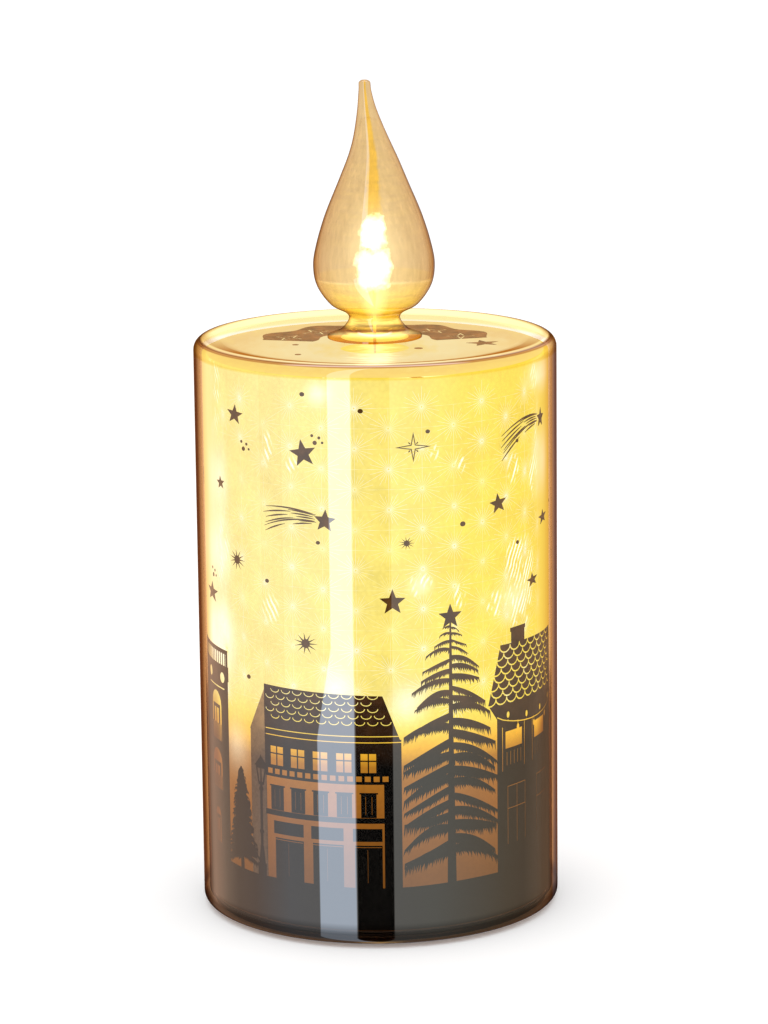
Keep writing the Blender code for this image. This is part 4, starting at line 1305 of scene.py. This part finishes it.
def comet(s, h, size, side, reach, fall, seed):
    """A star with a swept tail of fine lines that fan out from it. Side -1 sweeps the tail to the left."""
    rng = random.Random(seed)
    layers = []
    parts = [(0.08, 1.0), (0.1, 0.6), (0.5, 1.0), (0.12, 0.5), (0.55, 1.0), (0.1, 0.45)]
    parts += [(0.45, 1.0), (0.1, 1.0), (0.08, 0.4), (0.6, 1.0), (0.15, 0.5)]
    for k, (begin, end) in enumerate(parts):
        spread = k / (len(parts) - 1)
        start_h, end_h = 1.1 - 2.2 * spread, 2.5 - 7.7 * spread - fall
        bulge = 1.9 + 1.0 * spread + fall * 0.45
        last = end - rng.uniform(0.0, 0.06)
        points = []
        for i in range(11):
            t = begin + (last - begin) * i / 10
            level = start_h + (end_h - start_h) * t + bulge * 4 * t * (1 - t) * 0.55
            points.append((s + side * (size * 0.3 + reach * t), h + level))
        layers.append(ink(stroke(points, 0.44, 0.8)))
    layers.append(ink(star(s, h, size, rng.uniform(-6, 6), 5, 0.45)))
    return layers


def outline_star(s, h, wide, tall):
    """A four-pointed star in outline, with short rays between its points."""
    outer, inner = [], []
    for i in range(8):
        angle = math.pi * i / 4
        reach_s, reach_h = (wide, tall) if i % 2 == 0 else (0.95, 0.95)
        for points, share, less in ((outer, 1.0, 0.0), (inner, 0.74, 0.1)):
            across, upward = reach_s * share - less, reach_h * share - less
            points.append((s + across * math.cos(angle), h + upward * math.sin(angle)))
    layers = [ink(outer), clear(inner)]
    for i in range(4):
        angle = math.pi * (i + 0.5) / 2
        start, end = 1.15, 1.9
        line = [(s + t * math.cos(angle), h + t * math.sin(angle)) for t in (start, (start + end) / 2, end)]
        layers.append(ink(stroke(line, 0.36, 0.6)))
    return layers


def skyline():
    """The village round the candle, as separate prints: houses, trees and lamps."""
    seam = SEAM_S + 0.1
    end = seam + PRINT_LENGTH - 0.2
    printed("print_ground", ground_layers(seam, end), INK)
    printed("print_shop_front", shop_house(seam, SHOP_WALL_RIGHT, True), INK)
    wide = [(20, 16), (56, 15.5), (62, 14.5), (66, 12.5), (70, 11.2), (75, 10.4)]
    wide += [(80, 8.5), (84, 5), (88, 2.4)]
    tree = fir(FRONT_FIR, GROUND_TOP - 1, 89.5, wide, 3, 3.9, 1.35, (6.3, 35.6))
    tree.append(ink(star(FRONT_FIR, 91.0, 3.6)))
    printed("print_fir_front", tree, INK)
    printed("print_roof_house_right", scale_roof_house(*RIGHT_HOUSE), INK)
    printed("print_lamp_left", lamp_post(PRINT_LENGTH + LEFT_LAMP, GROUND_TOP - 0.5, 50.8), INK)
    slim = [(46, 0.8), (40, 3.0), (34, 4.4), (28, 5.6), (22, 7.0), (18, 7.4)]
    tree = fir(PRINT_LENGTH + LEFT_FIR, GROUND_TOP, 46.0, slim[::-1], 5, 1.9, 0.7, core=0.85)
    printed("print_fir_left", tree, INK)
    printed("print_balcony_house_left", balcony_house(*(PRINT_LENGTH + wall for wall in LEFT_HOUSE)), INK)
    printed("print_fir_right", fir(77.0, GROUND_TOP, 48.0, slim[::-1], 8, 1.9, 0.7, core=0.85), INK)
    printed("print_lamp_right", lamp_post(86.0, GROUND_TOP - 0.5, 51.5), INK)
    printed("print_shop_back", shop_house(91.0, 128.0, False), INK)
    middle = [(70, 0.8), (60, 5), (50, 7.5), (40, 9.0), (30, 10.2), (20, 10.8)]
    printed("print_fir_back", fir(139.6, GROUND_TOP, 71.0, middle[::-1], 11, 3.4, 1.1), INK)
    printed("print_roof_house_back", scale_roof_house(151.0, 186.0), INK)
    printed("print_fir_back_small", fir(193.0, GROUND_TOP, 44.0, slim[::-1], 13, 1.9, 0.7, core=0.85), INK)
    printed("print_balcony_house_back", balcony_house(202.0, 224.5), INK)
    # A soft brown sheet where the film overlaps itself: the print under the tucked edge, with painted shade.
    beyond = [ink([(end - 6.0, 57.6), (end, 57.6), (end, 70.5)])]
    beyond.append(ink(rect(end - 5.8, GROUND_TOP, end, 57.8)))
    printed("print_overlap_shade", beyond, SOFT_INK_AND_SHADE, base=PICTURE_RADIUS - 0.1, thickness=0.04)


def ground_layers(start, end):
    """The dark ground band: level, with soft rises under the trees."""
    count = int((end - start) / 3.0)
    top = []
    for i in range(count + 1):
        s = start + (end - start) * i / count
        top.append((s, GROUND_TOP + 0.9 * math.sin(s / 17.0) ** 2 * (1.4 if s > 200 else 0.5)))
    return [ink([(start, FILM_BOTTOM + 0.2), (end, FILM_BOTTOM + 0.2), *top[::-1]])]


def sky_prints():
    """Stars, dots and comets over the village."""
    front_stars = [
        (-15, 23, 2.9, 0, 1.7), (-13, 31, 1.9, 6, 1.3), (-11, 36, 2.8, -4, 1.25), (-5, 34, 3.9, 10, 1.05),
        (1, 24, 3.7, 0, 1.0), (9, 30, 2.9, 6, 1.15), (13, 24, 2.0, 6, 1.7), (15, 28, 2.1, 4, 1.8),
    ]
    stars = [(*on_grid(column, row), size, turn, wide) for column, row, size, turn, wide in front_stars]
    rng = random.Random(21)
    for s in range(82, 232, 18):
        place = (s + rng.uniform(-4, 4), rng.uniform(92, 146))
        stars.append((*place, rng.uniform(1.9, 3.6), rng.uniform(-12, 12), 1.1))
    layers = [ink(star(s, h, size, turn, wide=wide)) for s, h, size, turn, wide in stars]
    bursts = [(*on_grid(-11, 26), 2.8), (*on_grid(-5, 21), 3.0), (*on_grid(2, 28), 1.9)]
    for s in range(96, 228, 33):
        bursts.append((s + rng.uniform(-4, 4), rng.uniform(86, 140), rng.uniform(1.6, 2.8)))
    for s, h, size in bursts:
        layers.append(ink(star(s, h, size, 8, 11, 0.26, 1.2)))
        layers.append(ink(disc(s, h, size * 0.42)))
    places = [(-5, 38), (-1, 37), (11, 34), (-4, 28), (-8, 25), (6, 29), (11, 27), (-10, 18), (3.5, 35.5)]
    dots = [on_grid(*place) for place in places]
    dots += [(s + rng.uniform(-5, 5), rng.uniform(80, 152)) for s in range(75, 230, 15)]
    layers += [ink(disc(s, h, rng.uniform(0.55, 0.85), 12, 0.85)) for s, h in dots]
    group = [(-1.3, 1.0, 0.42), (0.7, 0.5, 0.42), (-0.5, -0.9, 0.62), (1.6, -0.8, 0.35)]
    for place in [(-10, 34), (-4, 35), (-14.5, 24.5), (30, 36), (45, 29)]:
        s, h = on_grid(*place)
        layers += [ink(disc(s + offset_s, h + offset_h, size, 10)) for offset_s, offset_h, size in group]
    layers += outline_star(*on_grid(2.5, 34.5), 5.0, 4.1)
    layers += outline_star(*on_grid(40, 32), 4.4, 4.0)
    printed("print_stars", layers, SKY_INK)
    printed("print_comet_front", comet(*on_grid(-3.5, 29.5), 3.2, -1, 18.0, 0.0, 2), SKY_INK)
    printed("print_comet_right", comet(*on_grid(14.5, 35), 2.8, -1, 20.0, 4.5, 4), SKY_INK)
    printed("print_comet_back", comet(*on_grid(34, 28), 3.2, 1, 18.0, 1.5, 7), SKY_INK)
    printed("print_comet_left", comet(*on_grid(53, 28), 3.0, -1, 18.0, 2.5, 9), SKY_INK)


# ---------------------------------------------------------------- the top


def top_sheet_material():
    """The lit sheet under the dished top: cream yellow, warmer towards the flame."""
    made, tree = new_material("top_glow")
    coords = object_coords(tree)
    x, y, _ = axes(tree, coords)
    distance = maths(tree, "SQRT", plus(tree, times(tree, x, x), times(tree, y, y)))
    reach = map_range(tree, distance, 8.0, 47.0)
    wave = noise(tree, 0.35, 4.0, coords, (1, 0.35, 1))
    place = plus(tree, reach, times(tree, minus(tree, wave, 0.5), 0.5))
    shade = ramp(
        tree,
        place,
        [
            (0.0, (1.0, 0.82, 0.34)), (0.3, (1.0, 0.90, 0.55)), (0.6, (1.0, 0.84, 0.46)),
            (0.85, (0.96, 0.74, 0.36)), (1.0, (1.0, 0.80, 0.36)),
        ],
    )
    output(tree, emission(tree, shade, 0.97))
    return made


def top_sheet():
    """A ring of the lit film under the glass top."""
    low, high = box_mm("top_film")
    outline = [(TOP_FILM_RADIUS, high.z), (TOP_FILM_RADIUS, low.z)]
    outline += [(TOP_FILM_HOLE, low.z), (TOP_FILM_HOLE, high.z)]
    mesh = lathe("top_sheet", outline, 160, closed=True)
    return piece("top_sheet", mesh, top_sheet_material(), "light_film", ["top_film"])


def top_print():
    """A dark scalloped half ring behind the flame, with a few stars and dots."""
    back = 6.5
    ring = []
    steps = 48
    for i in range(steps + 1):
        angle = math.radians(15 + 150 * i / steps)
        radius = 34.0 + 1.6 * math.cos(angle * 12)
        ring.append((radius * math.cos(angle), back + radius * math.sin(angle)))
    for i in range(steps + 1):
        angle = math.radians(165 - 150 * i / steps)
        radius = 18.5 + 1.2 * math.cos(angle * 8)
        ring.append((radius * math.cos(angle), back + radius * math.sin(angle)))
    layers = [ink(ring)]
    for i in range(6):
        angle = math.radians(25 + 26 * i)
        s, h = 26.5 * math.cos(angle), back + 26.5 * math.sin(angle)
        layers.append(clear(star(s, h, 5.0, 30 * i, 4, 0.3)))
        layers.append(ink(star(s, h, 3.2, 30 * i, 4, 0.3)))
    layers.append(ink(star(30.0, 5.5, 4.8, 12)))
    layers += [ink(disc(12.0, -2.0, 1.2)), ink(disc(-22.0, 6.0, 0.9)), ink(disc(-21.0, -10.0, 0.9))]
    printed("print_top", layers, TOP_INK, wrap=False, base=TOP_FILM_Z)


# ---------------------------------------------------------------- studio


def area_light(name, place, aim, size, power):
    light = bpy.data.lights.new(name, "AREA")
    light.shape = "RECTANGLE"
    light.size, light.size_y = size[0] * MM, size[1] * MM
    light.energy = power
    made = bpy.data.objects.new(name, light)
    made.location = Vector(place) * MM
    made.rotation_euler = (Vector(aim) - Vector(place)).to_track_quat("-Z", "Y").to_euler()
    bpy.context.scene.collection.objects.link(made)


def studio():
    """A white surround, one broad soft light from above, and a pale floor that only the camera sees, and
    only from above."""
    world = bpy.data.worlds.new("white_surround")
    world.use_nodes = True
    world.node_tree.nodes["Background"].inputs["Color"].default_value = rgba((1.0, 1.0, 1.0))
    bpy.context.scene.world = world
    shape = bmesh.new()
    bmesh.ops.create_grid(shape, x_segments=2, y_segments=2, size=4.0)
    mesh = bpy.data.meshes.new("floor")
    shape.to_mesh(mesh)
    shape.free()
    made, tree = new_material("pale_floor")
    grain = ramp(tree, noise(tree, 0.02, 2.0), [(0.3, (0.955, 0.955, 0.955)), (0.7, (0.97, 0.97, 0.97))])
    keys = {"Base Color": grain, "Roughness": 0.9, "Specular IOR Level": 0.1}
    keys["Emission Color"] = rgba((1.0, 1.0, 1.0))
    keys["Emission Strength"] = 0.12
    top = node(tree, "BsdfPrincipled", keys).outputs[0]
    below = shading_point(tree, "Backfacing")
    unseen = minus(tree, 1.0, node(tree, "LightPath").outputs["Is Camera Ray"])
    below = maths(tree, "MAXIMUM", below, unseen)
    seen = node(tree, "MixShader", {0: below, 1: top, 2: node(tree, "BsdfTransparent").outputs[0]})
    output(tree, seen.outputs[0])
    mesh.materials.append(made)
    floor = bpy.data.objects.new("floor", mesh)
    bpy.context.scene.collection.objects.link(floor)
    area_light("soft_light", (-150, -350, 1300), (0, 0, 0), (1600, 1600), 5.0)
    bpy.context.scene.view_settings.view_transform = "Standard"


def camera():
    """The view from the front with a long lens, looking down a little."""
    data = bpy.data.cameras.new("camera")
    data.lens = CAMERA_LENS
    data.clip_start = 0.01
    made = bpy.data.objects.new("camera", data)
    tilt = math.radians(CAMERA_ELEVATION)
    aim = Vector(CAMERA_AIM)
    place = aim + CAMERA_DISTANCE * Vector((0.0, -math.cos(tilt), math.sin(tilt)))
    made.location = place * MM
    turn = (aim - place).to_track_quat("-Z", "Y").to_matrix().to_4x4()
    roll = Vector((0.0, 0.0, 1.0))
    made.rotation_euler = (turn @ Matrix.Rotation(math.radians(CAMERA_ROLL), 4, roll)).to_euler()
    bpy.context.scene.collection.objects.link(made)
    bpy.context.scene.camera = made


dress_nodes()
glass_body()
flame_glass()
picture_film()
light_film()
ray_lines()
skyline()
sky_prints()
top_sheet()
top_print()
studio()
camera()
